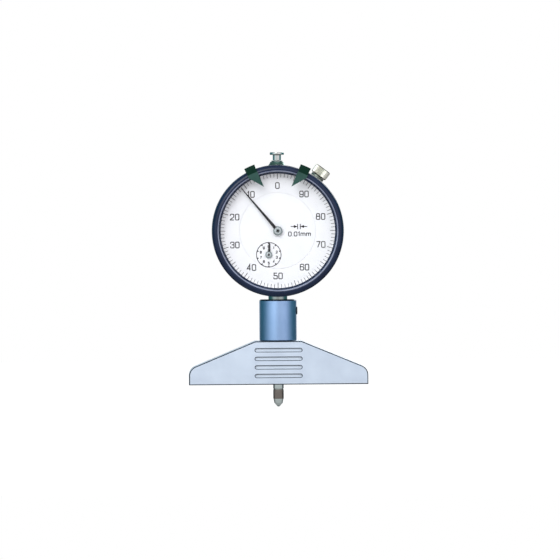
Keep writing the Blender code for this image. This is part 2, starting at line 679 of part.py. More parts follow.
def build_case():
    profile = (
        (CASE_INNER_RADIUS, CASE_FRONT),
        (CASE_NECK_RADIUS, CASE_FRONT),
        (CASE_NECK_RADIUS, CASE_SHOULDER_FRONT),
        (CASE_RADIUS, CASE_SHOULDER_FRONT),
        (CASE_RADIUS, -CASE_REAR),
        (LEDGE_RADIUS, -CASE_REAR),
        (LEDGE_RADIUS, PLATE_BACK - FIT),
        (CASE_INNER_RADIUS, PLATE_BACK - FIT),
    )
    case = turned("indicator_case", profile, DIAL, "green_paint", sides=RING_SIDES)
    root = (CASE_INNER_RADIUS + CASE_RADIUS) / 2
    boss_profile = (
        (0, DIAL_HEIGHT + BOSS_TOP),
        (BOSS_TOP_RADIUS, DIAL_HEIGHT + BOSS_TOP),
        (BOSS_RADIUS, DIAL_HEIGHT + CASE_RADIUS + BOSS_SHOULDER),
        (BOSS_RADIUS, DIAL_HEIGHT + root),
        (0, DIAL_HEIGHT + root),
    )
    boss = turned("top_boss", boss_profile, GAUGE, sides=SHAFT_SIDES)
    join(case, boss)
    bush_hole = cylinder(
        "upper_bush_hole",
        UPPER_BUSH_RADIUS + FIT,
        DIAL_HEIGHT + LEDGE_RADIUS - PAST,
        DIAL_HEIGHT + BOSS_TOP + PAST,
        GAUGE,
    )
    stem_hole = cylinder(
        "stem_hole",
        STEM_RADIUS + FIT,
        DIAL_HEIGHT - CASE_RADIUS - PAST,
        DIAL_HEIGHT - LEDGE_RADIUS + PAST,
        GAUGE,
        sides=ROUND_SIDES,
    )
    stud_hole = cylinder(
        "clamp_stud_hole", CLAMP_STUD_RADIUS + FIT, LEDGE_RADIUS - PAST, CASE_RADIUS + PAST, CLAMP
    )
    cut(case, bush_hole, stem_hole, stud_hole)
    for x, y in cover_screw_places():
        hole = cylinder(
            "cover_screw_hole",
            COVER_SCREW_RADIUS + FIT,
            COVER_BACK + COVER_SCREW_HEAD_HEIGHT,
            COVER_BACK + COVER_SCREW_HEAD_HEIGHT + COVER_SCREW_LENGTH + FIT,
            DIAL,
            (x, y, 0),
            sides=TINY_SIDES,
        )
        cut(case, hole)
    ring = [
        (CASE_NECK_RADIUS + RUN + SPRING_RING_RADIUS + dx, SPRING_RING_DEPTH + dz)
        for dx, dz in circle((0, 0), SPRING_RING_RADIUS, 4)
    ]
    turned("bezel_spring_ring", list(reversed(ring)), DIAL, "spring_steel", sides=RING_SIDES)


def cover_screw_places():
    """The centres of the back cover's screws."""
    first = math.pi / COVER_SCREWS
    step = math.tau / COVER_SCREWS
    return [polar(COVER_SCREW_CIRCLE, first + index * step) for index in range(COVER_SCREWS)]


def build_back_cover():
    profile = (
        (0, COVER_FRONT),
        (COVER_RADIUS, COVER_FRONT),
        (COVER_RADIUS, COVER_BACK + COVER_CHAMFER),
        (COVER_RADIUS - COVER_CHAMFER, COVER_BACK),
        (0, COVER_BACK),
    )
    cover = turned("back_cover", profile, DIAL, "black_paint", sides=RING_SIDES)
    head_top = COVER_BACK + COVER_SCREW_HEAD_HEIGHT
    for index, (x, y) in enumerate(cover_screw_places()):
        hole_profile = (
            (0, COVER_FRONT + PAST),
            (COVER_SCREW_RADIUS + FIT, COVER_FRONT + PAST),
            (COVER_SCREW_RADIUS + FIT, head_top + FIT),
            (COVER_SCREW_HEAD_RADIUS + FIT, head_top + FIT),
            (COVER_SCREW_HEAD_RADIUS + FIT, COVER_BACK - PAST),
            (0, COVER_BACK - PAST),
        )
        place = (x, y, 0)
        cut(cover, turned("cover_screw_seat", hole_profile, DIAL, None, place, sides=TINY_SIDES))
        screw_profile = (
            (0, head_top + COVER_SCREW_LENGTH),
            (COVER_SCREW_RADIUS, head_top + COVER_SCREW_LENGTH),
            (COVER_SCREW_RADIUS, head_top),
            (COVER_SCREW_HEAD_RADIUS, head_top),
            (COVER_SCREW_HEAD_RADIUS, COVER_BACK + FIT),
            (0, COVER_BACK + FIT),
        )
        turned(f"back_cover_screw_{index + 1}", screw_profile, DIAL, "steel", place, sides=TINY_SIDES)


def build_spindle():
    cap_bottom = UPPER_BUSH_TOP + FIT
    cap_top = cap_bottom + CAP_HEIGHT
    stud_top = cap_top - CAP_FLANGE_THICKNESS
    bottom = CONTACT_TOP + FIT
    socket = CONTACT_TOP + CONTACT_STUD_LENGTH + FIT
    profile = (
        (0, stud_top - FIT),
        (CAP_STUD_RADIUS, stud_top - FIT),
        (CAP_STUD_RADIUS, cap_bottom - FIT),
        (SPINDLE_TOP_RADIUS, cap_bottom - FIT),
        (SPINDLE_TOP_RADIUS, SPINDLE_STEP),
        (SPINDLE_RADIUS, SPINDLE_STEP - (SPINDLE_RADIUS - SPINDLE_TOP_RADIUS)),
        (SPINDLE_RADIUS, bottom + SPINDLE_CHAMFER),
        (SPINDLE_RADIUS - SPINDLE_CHAMFER, bottom),
        (CONTACT_STUD_RADIUS + FIT, bottom),
        (CONTACT_STUD_RADIUS + FIT, socket),
        (0, socket),
    )
    spindle = turned("spindle", profile, GAUGE, "steel", sides=SHAFT_SIDES)
    cut(spindle, rack_cutter(), guide_pin_hole())
    cap_profile = (
        (0, cap_top),
        (CAP_FLANGE_RADIUS - CAP_CHAMFER, cap_top),
        (CAP_FLANGE_RADIUS, cap_top - CAP_CHAMFER),
        (CAP_FLANGE_RADIUS, stud_top + CAP_CHAMFER),
        (CAP_FLANGE_RADIUS - CAP_CHAMFER, stud_top),
        (CAP_NECK_RADIUS, stud_top),
        (CAP_NECK_RADIUS, cap_bottom),
        (CAP_STUD_RADIUS + FIT, cap_bottom),
        (CAP_STUD_RADIUS + FIT, stud_top),
        (0, stud_top),
    )
    turned("lifting_cap", cap_profile, GAUGE, "steel", sides=SHAFT_SIDES)
    ball_height = CONTACT_BALL_RADIUS - CONTACT_REACH
    nose = arc((0, ball_height), CONTACT_BALL_RADIUS, 0, -math.pi / 2, NOSE_STEPS)
    nose[-1] = (0, -CONTACT_REACH)
    contact_profile = (
        (0, CONTACT_TOP + CONTACT_STUD_LENGTH),
        (CONTACT_STUD_RADIUS, CONTACT_TOP + CONTACT_STUD_LENGTH),
        (CONTACT_STUD_RADIUS, CONTACT_TOP),
        (CONTACT_RADIUS, CONTACT_TOP),
        (CONTACT_RADIUS, ball_height + CONTACT_TAPER),
        (CONTACT_NOSE_RADIUS, ball_height + CONTACT_SEAT_RISE),
        *nose,
    )
    turned("contact_point", contact_profile, GAUGE, "dark_steel", sides=SHAFT_SIDES)
    pin_profile = (
        (0, SPRING_X + GUIDE_PIN_OVERHANG),
        (GUIDE_PIN_RADIUS, SPRING_X + GUIDE_PIN_OVERHANG),
        (GUIDE_PIN_RADIUS, GUIDE_PIN_START + FIT),
        (0, GUIDE_PIN_START + FIT),
    )
    place = (0, 0, GUIDE_HEIGHT)
    turned("guide_pin", pin_profile, GAUGE, "steel", place, ALONG_X, TINY_SIDES)


def rack_cutter():
    """A comb that leaves the rack's teeth on the left side of the spindle."""
    tip = RACK_LINE + RACK_ADDENDUM
    root = RACK_LINE - RACK_DEDENDUM
    outside = SPINDLE_RADIUS + PAST
    below = math.ceil(TRAVEL / RACK_PITCH) + RACK_SPARE_TEETH - 1
    above = RACK_SPARE_TEETH
    outline = [(-outside, (above + 0.5) * RACK_PITCH)]
    for gap in range(above, -below - 1, -1):
        middle = gap * RACK_PITCH
        half_open = RACK_PITCH * (1 - RACK_TIP) / 2
        half_floor = RACK_PITCH * (1 - RACK_ROOT) / 2
        outline += [(-tip, middle + half_open), (-root, middle + half_floor)]
        outline += [(-root, middle - half_floor), (-tip, middle - half_open)]
    outline.append((-outside, -(below + 0.5) * RACK_PITCH))
    comb = flat("rack_cutter", [outline], -outside, outside, GAUGE, turn=(math.pi / 2, 0, 0))
    comb.location = (0, 0, COUNTER_HEIGHT)
    return comb


def guide_pin_hole():
    radius = GUIDE_PIN_RADIUS + FIT / 2
    high = SPINDLE_RADIUS + PAST
    place = (0, 0, GUIDE_HEIGHT)
    return cylinder("guide_pin_hole", radius, GUIDE_PIN_START, high, GAUGE, place, ALONG_X, TINY_SIDES)


def build_plates():
    plate_holes = [
        circle((0, 0), ARBOR_RADIUS + 2 * FIT, TINY_SIDES),
        circle(COUNTER_PLACE, ARBOR_RADIUS + FIT, TINY_SIDES),
        circle(HAIRSPRING_PLACE, PIVOT_RADIUS + RUN, TINY_SIDES),
        circle(cock_foot_place(), POST_SCREW_RADIUS + FIT, TINY_SIDES),
    ]
    bridge_holes = [
        circle((0, 0), ARBOR_RADIUS + 2 * FIT, TINY_SIDES),
        circle(COUNTER_PLACE, HAND_PIVOT_RADIUS + RUN, TINY_SIDES),
        circle(HAIRSPRING_PLACE, PIVOT_RADIUS + RUN, TINY_SIDES),
        circle(hairspring_stud_place(), PIVOT_RADIUS + FIT, TINY_SIDES),
    ]
    bridge_holes += [circle(place, DIAL_FOOT_RADIUS + FIT, TINY_SIDES) for place in dial_foot_places()]
    post_holes = [circle(place, POST_SCREW_RADIUS + FIT, TINY_SIDES) for place in post_places()]
    plate_edge = circle((0, 0), PLATE_RADIUS, RING_SIDES)
    plate_outlines = [plate_edge, *plate_holes, *post_holes]
    flat("main_plate", plate_outlines, PLATE_BACK, PLATE_FRONT, DIAL, "brass")
    bridge_edge = rounded_hull(post_places(), BRIDGE_CORNER_RADIUS)
    bridge_outlines = [bridge_edge, *bridge_holes, *post_holes]
    flat("front_bridge", bridge_outlines, BRIDGE_BACK, BRIDGE_FRONT, DIAL, "brass")
    post = tube(POST_SCREW_RADIUS + FIT, POST_RADIUS, PLATE_FRONT + FIT, BRIDGE_BACK - FIT)
    head_low = BRIDGE_FRONT + FIT
    screw = (
        (0, head_low + POST_SCREW_HEAD_HEIGHT),
        (POST_SCREW_HEAD_RADIUS, head_low + POST_SCREW_HEAD_HEIGHT),
        (POST_SCREW_HEAD_RADIUS, head_low),
        (POST_SCREW_RADIUS, head_low),
        (POST_SCREW_RADIUS, PLATE_BACK + FIT),
        (0, PLATE_BACK + FIT),
    )
    for index, (x, y) in enumerate(post_places()):
        place = (x, y, 0)
        turned(f"bridge_post_{index + 1}", post, DIAL, "brass", place, sides=TINY_SIDES)
        turned(f"bridge_screw_{index + 1}", screw, DIAL, "steel", place, sides=TINY_SIDES)
    bush_radius = ARBOR_RADIUS + FIT
    back_bush = tube(PIVOT_RADIUS + RUN, bush_radius, PLATE_BACK, PLATE_FRONT)
    turned("center_back_bush", back_bush, DIAL, "steel", sides=TINY_SIDES)
    front_bush = tube(HAND_PIVOT_RADIUS + RUN, bush_radius, BRIDGE_BACK, BRIDGE_FRONT)
    turned("center_front_bush", front_bush, DIAL, "steel", sides=TINY_SIDES)


def post_places():
    return [polar(POST_CIRCLE, direction) for direction in POST_DIRECTIONS]


def dial_foot_places():
    return [polar(DIAL_FOOT_CIRCLE, direction) for direction in DIAL_FOOT_DIRECTIONS]


def cock_foot_place():
    return COUNTER_PLACE[0] - COCK_FOOT_DISTANCE, COUNTER_PLACE[1]


def hairspring_stud_place():
    x, y = HAIRSPRING_PLACE
    dx, dy = polar(HAIRSPRING_RADIUS + HAIRSPRING_WIRE_RADIUS + RUN + PIVOT_RADIUS, HAIRSPRING_END)
    return x + dx, y + dy


def build_cock():
    """The rear bearing of the counter arbor, on its foot behind the main plate."""
    foot = cock_foot_place()
    cock_front = -PLATE_BACK
    cock_back = cock_front - PLATE_THICKNESS
    outline = rounded_hull([foot, COUNTER_PLACE], COCK_RADIUS, 8)
    holes = [circle(COUNTER_PLACE, PIVOT_RADIUS + RUN, TINY_SIDES)]
    cock = flat("counter_cock", [outline, *holes], cock_back, cock_front, DIAL, "brass")
    pillar = cylinder(
        "cock_pillar", COCK_RADIUS - FIT, cock_front - FIT, PLATE_BACK - FIT, DIAL, (*foot, 0)
    )
    join(cock, pillar)
    hole_radius = POST_SCREW_RADIUS + FIT
    hole_low = cock_back - PAST
    hole_high = PLATE_BACK + PAST
    place = (*foot, 0)
    screw_hole = cylinder(
        "cock_screw_hole", hole_radius, hole_low, hole_high, DIAL, place, sides=TINY_SIDES
    )
    cut(cock, screw_hole)
    head_high = cock_back - FIT
    screw = (
        (0, PLATE_FRONT - FIT),
        (POST_SCREW_RADIUS, PLATE_FRONT - FIT),
        (POST_SCREW_RADIUS, head_high),
        (POST_SCREW_HEAD_RADIUS, head_high),
        (POST_SCREW_HEAD_RADIUS, head_high - POST_SCREW_HEAD_HEIGHT),
        (0, head_high - POST_SCREW_HEAD_HEIGHT),
    )
    turned("cock_screw", screw, DIAL, "steel", place, sides=TINY_SIDES)


def arbor(name, steps, parent):
    """A stepped shaft of (radius, low end) steps from the front, whose first pair gives the front end."""
    profile = [(0, steps[0][1]), (steps[1][0], steps[0][1])]
    for (radius, low), (after, _) in zip(steps[1:], steps[2:] + [(0, 0)]):
        profile += [(radius, low), (after, low)]
    return turned(name, profile, parent, "steel", sides=TINY_SIDES)


def build_gear_train():
    pinion_phase = COUNTER_DIRECTION
    center = arbor(
        "center_arbor",
        [
            (0, POINTER_FRONT + 2 * WIDE),
            (HAND_PIVOT_RADIUS, BRIDGE_BACK - FIT),
            (ARBOR_RADIUS, PLATE_FRONT + FIT / 2),
            (PIVOT_RADIUS, PLATE_BACK + FIT),
        ],
        POINTER_AXIS,
    )
    pinion_low = PLATE_FRONT + FIT
    pinion_high = WHEEL_FRONT + WIDE
    pinion = flat(
        "center_pinion", [gear(PINION_TEETH, MODULE, pinion_phase)], pinion_low, pinion_high, POINTER_AXIS
    )
    join(center, pinion)
    counter = arbor(
        "counter_arbor",
        [
            (0, COUNTER_HAND_FRONT + FIT),
            (HAND_PIVOT_RADIUS, BRIDGE_BACK - FIT),
            (ARBOR_RADIUS, PLATE_BACK - FIT),
            (PINION_BODY_RADIUS, FIT - PLATE_BACK),
            (PIVOT_RADIUS, FIT - PLATE_BACK - PLATE_THICKNESS),
        ],
        COUNTER_AXIS,
    )
    half_face = RACK_FACE_WIDTH / 2
    rack_pinion = flat(
        "rack_pinion",
        [gear(RACK_PINION_TEETH, RACK_MODULE, 0)],
        -half_face,
        half_face,
        COUNTER_AXIS,
    )
    join(counter, rack_pinion)
    wheel_phase = COUNTER_DIRECTION + math.pi + math.pi / WHEEL_TEETH
    hole = circle((0, 0), ARBOR_RADIUS + FIT, TINY_SIDES)
    wheel = [gear(WHEEL_TEETH, MODULE, wheel_phase), hole]
    flat("counter_wheel", wheel, WHEEL_BACK, WHEEL_FRONT, COUNTER_AXIS, "brass")
    arbor(
        "hairspring_arbor",
        [
            (0, BRIDGE_FRONT - FIT),
            (PIVOT_RADIUS, BRIDGE_BACK - FIT),
            (ARBOR_RADIUS, PLATE_FRONT + FIT / 2),
            (PIVOT_RADIUS, PLATE_BACK + FIT),
        ],
        HAIRSPRING_AXIS,
    )
    lead = (pinion_phase - HAIRSPRING_DIRECTION) / math.tau * PINION_TEETH
    hair_phase = HAIRSPRING_DIRECTION + math.pi - (lead - 0.5) * math.tau / HAIRSPRING_TEETH
    hair_wheel = [gear(HAIRSPRING_TEETH, MODULE, hair_phase), hole]
    flat("hairspring_wheel", hair_wheel, WHEEL_BACK, WHEEL_FRONT, HAIRSPRING_AXIS, "brass")
    collet = tube(ARBOR_RADIUS + FIT, COLLET_RADIUS, WHEEL_FRONT + FIT, BRIDGE_BACK - WIDE)
    turned("hairspring_collet", collet, HAIRSPRING_AXIS, "brass", sides=TINY_SIDES)


def build_springs():
    depth = (WHEEL_FRONT + BRIDGE_BACK) / 2
    inner = COLLET_RADIUS + HAIRSPRING_WIRE_RADIUS + RUN
    count = HAIRSPRING_TURNS * HAIRSPRING_TURN_POINTS
    spiral = []
    for index in range(count + 1):
        radius = inner + (HAIRSPRING_RADIUS - inner) * index / count
        x, y = polar(radius, HAIRSPRING_END + math.tau * index / HAIRSPRING_TURN_POINTS)
        spiral.append((HAIRSPRING_PLACE[0] + x, HAIRSPRING_PLACE[1] + y, depth))
    wire("hairspring", spiral, HAIRSPRING_WIRE_RADIUS, DIAL, "spring_steel", 0)
    stud = (
        (0, BRIDGE_FRONT),
        (PIVOT_RADIUS, BRIDGE_FRONT),
        (PIVOT_RADIUS, depth - WIDE),
        (0, depth - WIDE),
    )
    turned("hairspring_stud", stud, DIAL, "brass", (*hairspring_stud_place(), 0), sides=TINY_SIDES)
    coil = [(SPRING_X, 0, SPRING_TOP)]
    count = SPRING_TURNS * SPRING_TURN_POINTS
    lead_in = 3 * SPRING_WIRE_RADIUS
    for index in range(count + 1):
        x, y = polar(SPRING_RADIUS, math.tau * index / SPRING_TURN_POINTS)
        drop = lead_in + (SPRING_TOP - SPRING_BOTTOM - 2 * lead_in) * index / count
        coil.append((SPRING_X + x, y, SPRING_TOP - drop))
    coil.append((SPRING_X, 0, SPRING_BOTTOM))
    wire("return_spring", coil, SPRING_WIRE_RADIUS, GAUGE, "spring_steel", 0)
    half_length = SPRING_RADIUS + SPRING_WIRE_RADIUS
    post = (
        (0, PLATE_BACK - FIT),
        (SPRING_POST_RADIUS, PLATE_BACK - FIT),
        (SPRING_POST_RADIUS, -half_length),
        (0, -half_length),
    )
    place = (SPRING_X, SPRING_POST_HEIGHT - DIAL_HEIGHT, 0)
    turned("spring_post", post, DIAL, "steel", place, sides=TINY_SIDES)


def build_guide_rail():
    slot = GUIDE_PIN_RADIUS + FIT
    edge = slot + GUIDE_RAIL_CHEEK
    x = GUIDE_RAIL_X
    rail = box(
        "guide_rail",
        (x, -PLATE_BACK + FIT, GUIDE_HEIGHT - edge),
        (x + GUIDE_RAIL_WIDTH, edge, GUIDE_HEIGHT + TRAVEL + edge),
        GAUGE,
        "steel",
    )
    slot_cutter = box(
        "guide_slot",
        (x - PAST, -slot, GUIDE_HEIGHT - slot - FIT),
        (x + GUIDE_RAIL_WIDTH + PAST, slot, GUIDE_HEIGHT + TRAVEL + slot + FIT),
        GAUGE,
    )
    cut(rail, slot_cutter)


def build_dial():
    disc = [
        circle((0, 0), INNER_DIAL_RADIUS, RING_SIDES),
        circle((0, 0), DIAL_HOLE_RADIUS, TINY_SIDES),
        circle(COUNTER_PLACE, DIAL_HOLE_RADIUS, TINY_SIDES),
    ]
    inner = flat("inner_dial", disc, DIAL_BACK, DIAL_FRONT, DIAL, "dial_white")
    middle = (DIAL_BACK + DIAL_FRONT) / 2
    for x, y in dial_foot_places():
        foot = cylinder(
            "dial_foot", DIAL_FOOT_RADIUS, BRIDGE_BACK + FIT, middle, DIAL, (x, y, 0), sides=TINY_SIDES
        )
        join(inner, foot)
    ring = tube(INNER_DIAL_RADIUS + DIAL_GAP, CRYSTAL_RADIUS, DIAL_BACK, DIAL_FRONT)
    turned("dial_ring", ring, BEZEL_AXIS, "dial_white", sides=RING_SIDES)


def build_hands():
    pointer = hand_outline(POINTER_HUB_RADIUS, POINTER_ROOT_WIDTH, POINTER_LENGTH, POINTER_TIP_WIDTH)
    flat(
        "pointer",
        [pointer, circle((0, 0), POINTER_HOLE_RADIUS, TINY_SIDES)],
        POINTER_BACK,
        POINTER_FRONT,
        POINTER_AXIS,
        "hand_black",
        turn=(0, 0, POINTER_ANGLE),
    )
    top = POINTER_FRONT + WIDE
    flange_top = POINTER_BACK - RUN
    bore = HAND_PIVOT_RADIUS + RUN
    neck = POINTER_HOLE_RADIUS - RUN
    boss = (
        (bore, top),
        (neck, top),
        (neck, flange_top),
        (POINTER_FLANGE_RADIUS, flange_top),
        (POINTER_FLANGE_RADIUS, COUNTER_HAND_FRONT),
        (bore, COUNTER_HAND_FRONT),
    )
    turned("pointer_boss", boss, POINTER_AXIS, "steel", sides=SMALL_SIDES)
    counter = hand_outline(
        COUNTER_HUB_RADIUS, COUNTER_HAND_WIDTH, COUNTER_HAND_LENGTH, COUNTER_HAND_TIP_WIDTH
    )
    flat(
        "counter_hand",
        [counter, circle((0, 0), bore, TINY_SIDES)],
        COUNTER_HAND_BACK,
        COUNTER_HAND_FRONT,
        COUNTER_AXIS,
        "hand_black",
        turn=(0, 0, COUNTER_ANGLE),
    )


def hand_outline(hub_radius, root_width, length, tip_width):
    """A hub disc with a tapered needle along +Y."""
    meet = math.asin(root_width / 2 / hub_radius)
    up = math.pi / 2
    disc = arc((0, 0), hub_radius, up + meet, up + math.tau - meet, HUB_STEPS)
    return [*disc, (tip_width / 2, length), (-tip_width / 2, length)]


def bezel_profile():
    ring_low = SPRING_RING_DEPTH - SPRING_RING_RADIUS - RUN
    ring_high = SPRING_RING_DEPTH + SPRING_RING_RADIUS + RUN
    ring_groove = CASE_NECK_RADIUS + 2 * SPRING_RING_RADIUS + 3 * RUN
    groove_front = RIM_GROOVE_BACK + RIM_GROOVE_WIDTH
    slope_width = BEZEL_RADIUS - BEZEL_RIDGE_RADIUS
    slope = [
        (BEZEL_RIDGE_RADIUS + across * slope_width, RIDGE_FRONT - down * BEZEL_SLOPE_HEIGHT)
        for across, down in BEZEL_SLOPE
    ]
    return (
        (DIAL_VISIBLE_RADIUS, LIP_FRONT),
        (BEZEL_RIDGE_RADIUS, RIDGE_FRONT),
        *slope,
        (BEZEL_RADIUS, RIDGE_FRONT - BEZEL_SLOPE_HEIGHT),
        (BEZEL_RADIUS, groove_front),
        (RIM_GROOVE_RADIUS, groove_front),
        (RIM_GROOVE_RADIUS, RIM_GROOVE_BACK),
        (BEZEL_RADIUS, RIM_GROOVE_BACK),
        (BEZEL_RADIUS, BEZEL_BACK),
        (BEZEL_SKIRT_RADIUS, BEZEL_BACK),
        (BEZEL_SKIRT_RADIUS, ring_low),
        (ring_groove, ring_low),
        (ring_groove, ring_high),
        (BEZEL_SKIRT_RADIUS, ring_high),
        (BEZEL_SKIRT_RADIUS, DIAL_BACK - FIT),
        (BEZEL_SEAT_RADIUS, DIAL_BACK - FIT),
        (BEZEL_SEAT_RADIUS, LIP_BACK),
        (DIAL_VISIBLE_RADIUS, LIP_BACK),
    )


def build_bezel():
    turned("bezel", bezel_profile(), BEZEL_AXIS, "black_paint", sides=RING_SIDES)
    crystal = (
        (0, CRYSTAL_FRONT),
        (CRYSTAL_RADIUS - CRYSTAL_CHAMFER, CRYSTAL_FRONT),
        (CRYSTAL_RADIUS, CRYSTAL_FRONT - CRYSTAL_CHAMFER),
        (CRYSTAL_RADIUS, CRYSTAL_BACK),
        (0, CRYSTAL_BACK),
    )
    turned("crystal", crystal, BEZEL_AXIS, "crystal_clear", sides=RING_SIDES)
    inner = DIAL_VISIBLE_RADIUS + FIT
    gasket = tube(inner, CRYSTAL_RADIUS, CRYSTAL_FRONT + FIT, GASKET_FRONT)
    turned("crystal_gasket", gasket, BEZEL_AXIS, "rubber", sides=RING_SIDES)
    spacer = tube(inner, CRYSTAL_RADIUS, DIAL_FRONT + FIT, CRYSTAL_BACK - FIT)
    turned("dial_spacer_ring", spacer, BEZEL_AXIS, "black_paint", sides=RING_SIDES)
    snap = tube(inner, BEZEL_SKIRT_RADIUS - FIT, SNAP_RING_BACK, DIAL_BACK - 2 * FIT)
    turned("dial_snap_ring", snap, BEZEL_AXIS, "spring_steel", sides=RING_SIDES)


def ring_sector(inner, outer, half_angle, steps=GROOVE_STEPS):
    """Part of a flat ring about the dial centre, on the Y axis."""
    up = math.pi / 2
    out = arc((0, 0), outer, up - half_angle, up + half_angle, steps)
    back = arc((0, 0), inner, up + half_angle, up - half_angle, steps)
    return out + back


def limit_plate_outline(side):
    """The half arrow over the crystal: its straight edge faces the top of the dial."""
    inner_x = -side * LIMIT_WIDTH / 2
    outer = LIMIT_OUTER_RADIUS - LIMIT_WALL / 2
    return [
        (inner_x, outer),
        (inner_x, LIMIT_TIP_RADIUS),
        (-inner_x, LIMIT_ARROW_RADIUS),
        (-inner_x, outer),
    ]


def build_limit_hands():
    """Two sprung clips hooked in the bezel's rim groove, one each side of the top."""
    spread = math.asin(LIMIT_WIDTH / 2 / LIMIT_WALL_RADIUS)
    hook_inner = RIM_GROOVE_RADIUS + FIT
    hook_low = RIM_GROOVE_BACK + FIT
    hook_high = RIM_GROOVE_BACK + RIM_GROOVE_WIDTH - FIT
    wall_middle = LIMIT_WALL_RADIUS + LIMIT_WALL / 2
    for name, side in (("limit_hand_left", -1), ("limit_hand_right", 1)):
        axis = empty(name + "_axis", BEZEL_AXIS, turn=(0, 0, -side * LIMIT_ANGLE))
        plate = limit_plate_outline(side)
        hand = flat(name, [plate], LIMIT_PLATE_BACK, LIMIT_PLATE_FRONT, axis, "tab_green")
        wall = flat(
            name + "_wall",
            [ring_sector(LIMIT_WALL_RADIUS, LIMIT_OUTER_RADIUS, spread)],
            hook_low,
            LIMIT_PLATE_FRONT - LIMIT_TAB_RISE,
            axis,
        )
        hook = flat(
            name + "_hook",
            [ring_sector(hook_inner, wall_middle, spread * LIMIT_HOOK_SHARE)],
            hook_low - LIMIT_TAB_RISE / 2,
            hook_high,
            axis,
        )
        tab = flat(
            name + "_tab",
            [ring_sector(wall_middle, LIMIT_OUTER_RADIUS + LIMIT_TAB_REACH, spread * LIMIT_TAB_SHARE)],
            FRONT_REACH - LIMIT_TAB_HEIGHT,
            FRONT_REACH,
            axis,
        )
        join(hand, wall, hook, tab)


def build_bezel_clamp():
    knob_end = CLAMP_KNOB_START + CLAMP_KNOB_LENGTH
    socket_end = knob_end - CLAMP_KNOB_END_WALL
    stud_hole = CLAMP_STUD_RADIUS + FIT
    half = math.pi / CLAMP_KNOB_TEETH
    rim = []
    for tooth in range(CLAMP_KNOB_TEETH):
        middle = tooth * math.tau / CLAMP_KNOB_TEETH
        rim += [polar(CLAMP_KNOB_RADIUS - CLAMP_KNURL_DEPTH, middle - half)]
        rim += [polar(CLAMP_KNOB_RADIUS, middle)]
    knob = flat("bezel_clamp_knob", [rim], CLAMP_KNOB_START, knob_end, CLAMP, "knob_silver")
    socket_start = CLAMP_KNOB_START - PAST
    socket = cylinder("knob_socket", stud_hole, socket_start, socket_end, CLAMP, sides=TINY_SIDES)
    cut(knob, socket)
    stud_low = LEDGE_RADIUS + WIDE
    stud = (
        (0, socket_end - FIT),
        (CLAMP_STUD_RADIUS, socket_end - FIT),
        (CLAMP_STUD_RADIUS, stud_low),
        (0, stud_low),
    )
    turned("bezel_clamp_stud", stud, CLAMP, "steel", sides=TINY_SIDES)
    collar = tube(stud_hole, CLAMP_COLLAR_RADIUS, CLAMP_COLLAR_START, CLAMP_KNOB_START - FIT)
    turned("clamp_collar", collar, CLAMP, "green_paint", sides=SHAFT_SIDES)
    half_width = CLAMP_SHOE_WIDTH / 2
    front = CASE_SHOULDER_FRONT - CLAMP_DEPTH + FIT
    shoe = [
        (-half_width, -half_width),
        (half_width, -half_width),
        (half_width, front),
        (-half_width, front),
    ]
    bore = circle((0, 0), stud_hole, TINY_SIDES)
    shoe_low = CASE_RADIUS + FIT
    flat("clamp_shoe", [shoe, bore], shoe_low, shoe_low + CLAMP_SHOE_THICKNESS, CLAMP, "steel")


def clear_scene():
    for obj in list(bpy.data.objects):
        bpy.data.objects.remove(obj, do_unlink=True)


def collection(name):
    made = bpy.data.collections.new(name)
    bpy.context.scene.collection.children.link(made)
    return made


clear_scene()
PARTS = collection("dial_depth_gauge")
CUTTERS = collection("cutters")

# The gauge stands on its contact tip, and its depth is centred on the row's origin
MIDDLE_DEPTH = (FRONT_REACH + COVER_BACK) / 2
GAUGE = empty("gauge_datum", place=(0, MIDDLE_DEPTH, CONTACT_REACH))
DIAL = empty("dial_axis", GAUGE, (0, 0, DIAL_HEIGHT), (math.pi / 2, 0, 0))
POINTER_AXIS = empty("pointer_axis", DIAL)
COUNTER_AXIS = empty("counter_axis", DIAL, (*COUNTER_PLACE, 0))
HAIRSPRING_AXIS = empty("hairspring_axis", DIAL, (*HAIRSPRING_PLACE, 0))
BEZEL_AXIS = empty("bezel_axis", DIAL)
CLAMP = empty("clamp_axis", DIAL, (0, 0, CLAMP_DEPTH), (-math.pi / 2, 0, -CLAMP_DIRECTION))

build_base()
build_sleeve()
build_stem()
build_case()
build_back_cover()
build_spindle()
build_plates()
build_cock()
build_gear_train()
build_springs()
build_guide_rail()
build_dial()
build_hands()
build_bezel()
build_limit_hands()
build_bezel_clamp()
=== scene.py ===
"""The looks of the dial depth gauge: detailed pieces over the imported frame, its finishes and its studio."""

import json
import math

import bmesh
import bpy
from mathutils import Matrix, Vector


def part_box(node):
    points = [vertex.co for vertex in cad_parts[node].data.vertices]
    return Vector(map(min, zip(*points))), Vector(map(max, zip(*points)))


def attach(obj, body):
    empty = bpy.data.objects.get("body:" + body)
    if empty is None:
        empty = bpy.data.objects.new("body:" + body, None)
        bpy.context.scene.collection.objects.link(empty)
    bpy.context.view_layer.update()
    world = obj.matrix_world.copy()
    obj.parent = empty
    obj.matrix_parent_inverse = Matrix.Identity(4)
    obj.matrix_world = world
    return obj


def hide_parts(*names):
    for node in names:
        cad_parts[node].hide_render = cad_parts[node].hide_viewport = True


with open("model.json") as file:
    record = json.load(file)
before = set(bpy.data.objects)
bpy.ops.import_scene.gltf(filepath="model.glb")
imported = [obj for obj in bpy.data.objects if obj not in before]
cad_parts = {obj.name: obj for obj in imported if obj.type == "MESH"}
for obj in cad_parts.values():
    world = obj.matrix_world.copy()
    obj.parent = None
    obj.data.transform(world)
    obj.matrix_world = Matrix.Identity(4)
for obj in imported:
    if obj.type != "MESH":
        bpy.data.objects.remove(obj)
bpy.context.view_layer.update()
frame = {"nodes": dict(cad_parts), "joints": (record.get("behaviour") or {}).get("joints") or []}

# Every length below is in millimetres, and a place's matrix turns it into metres
MM = 0.001
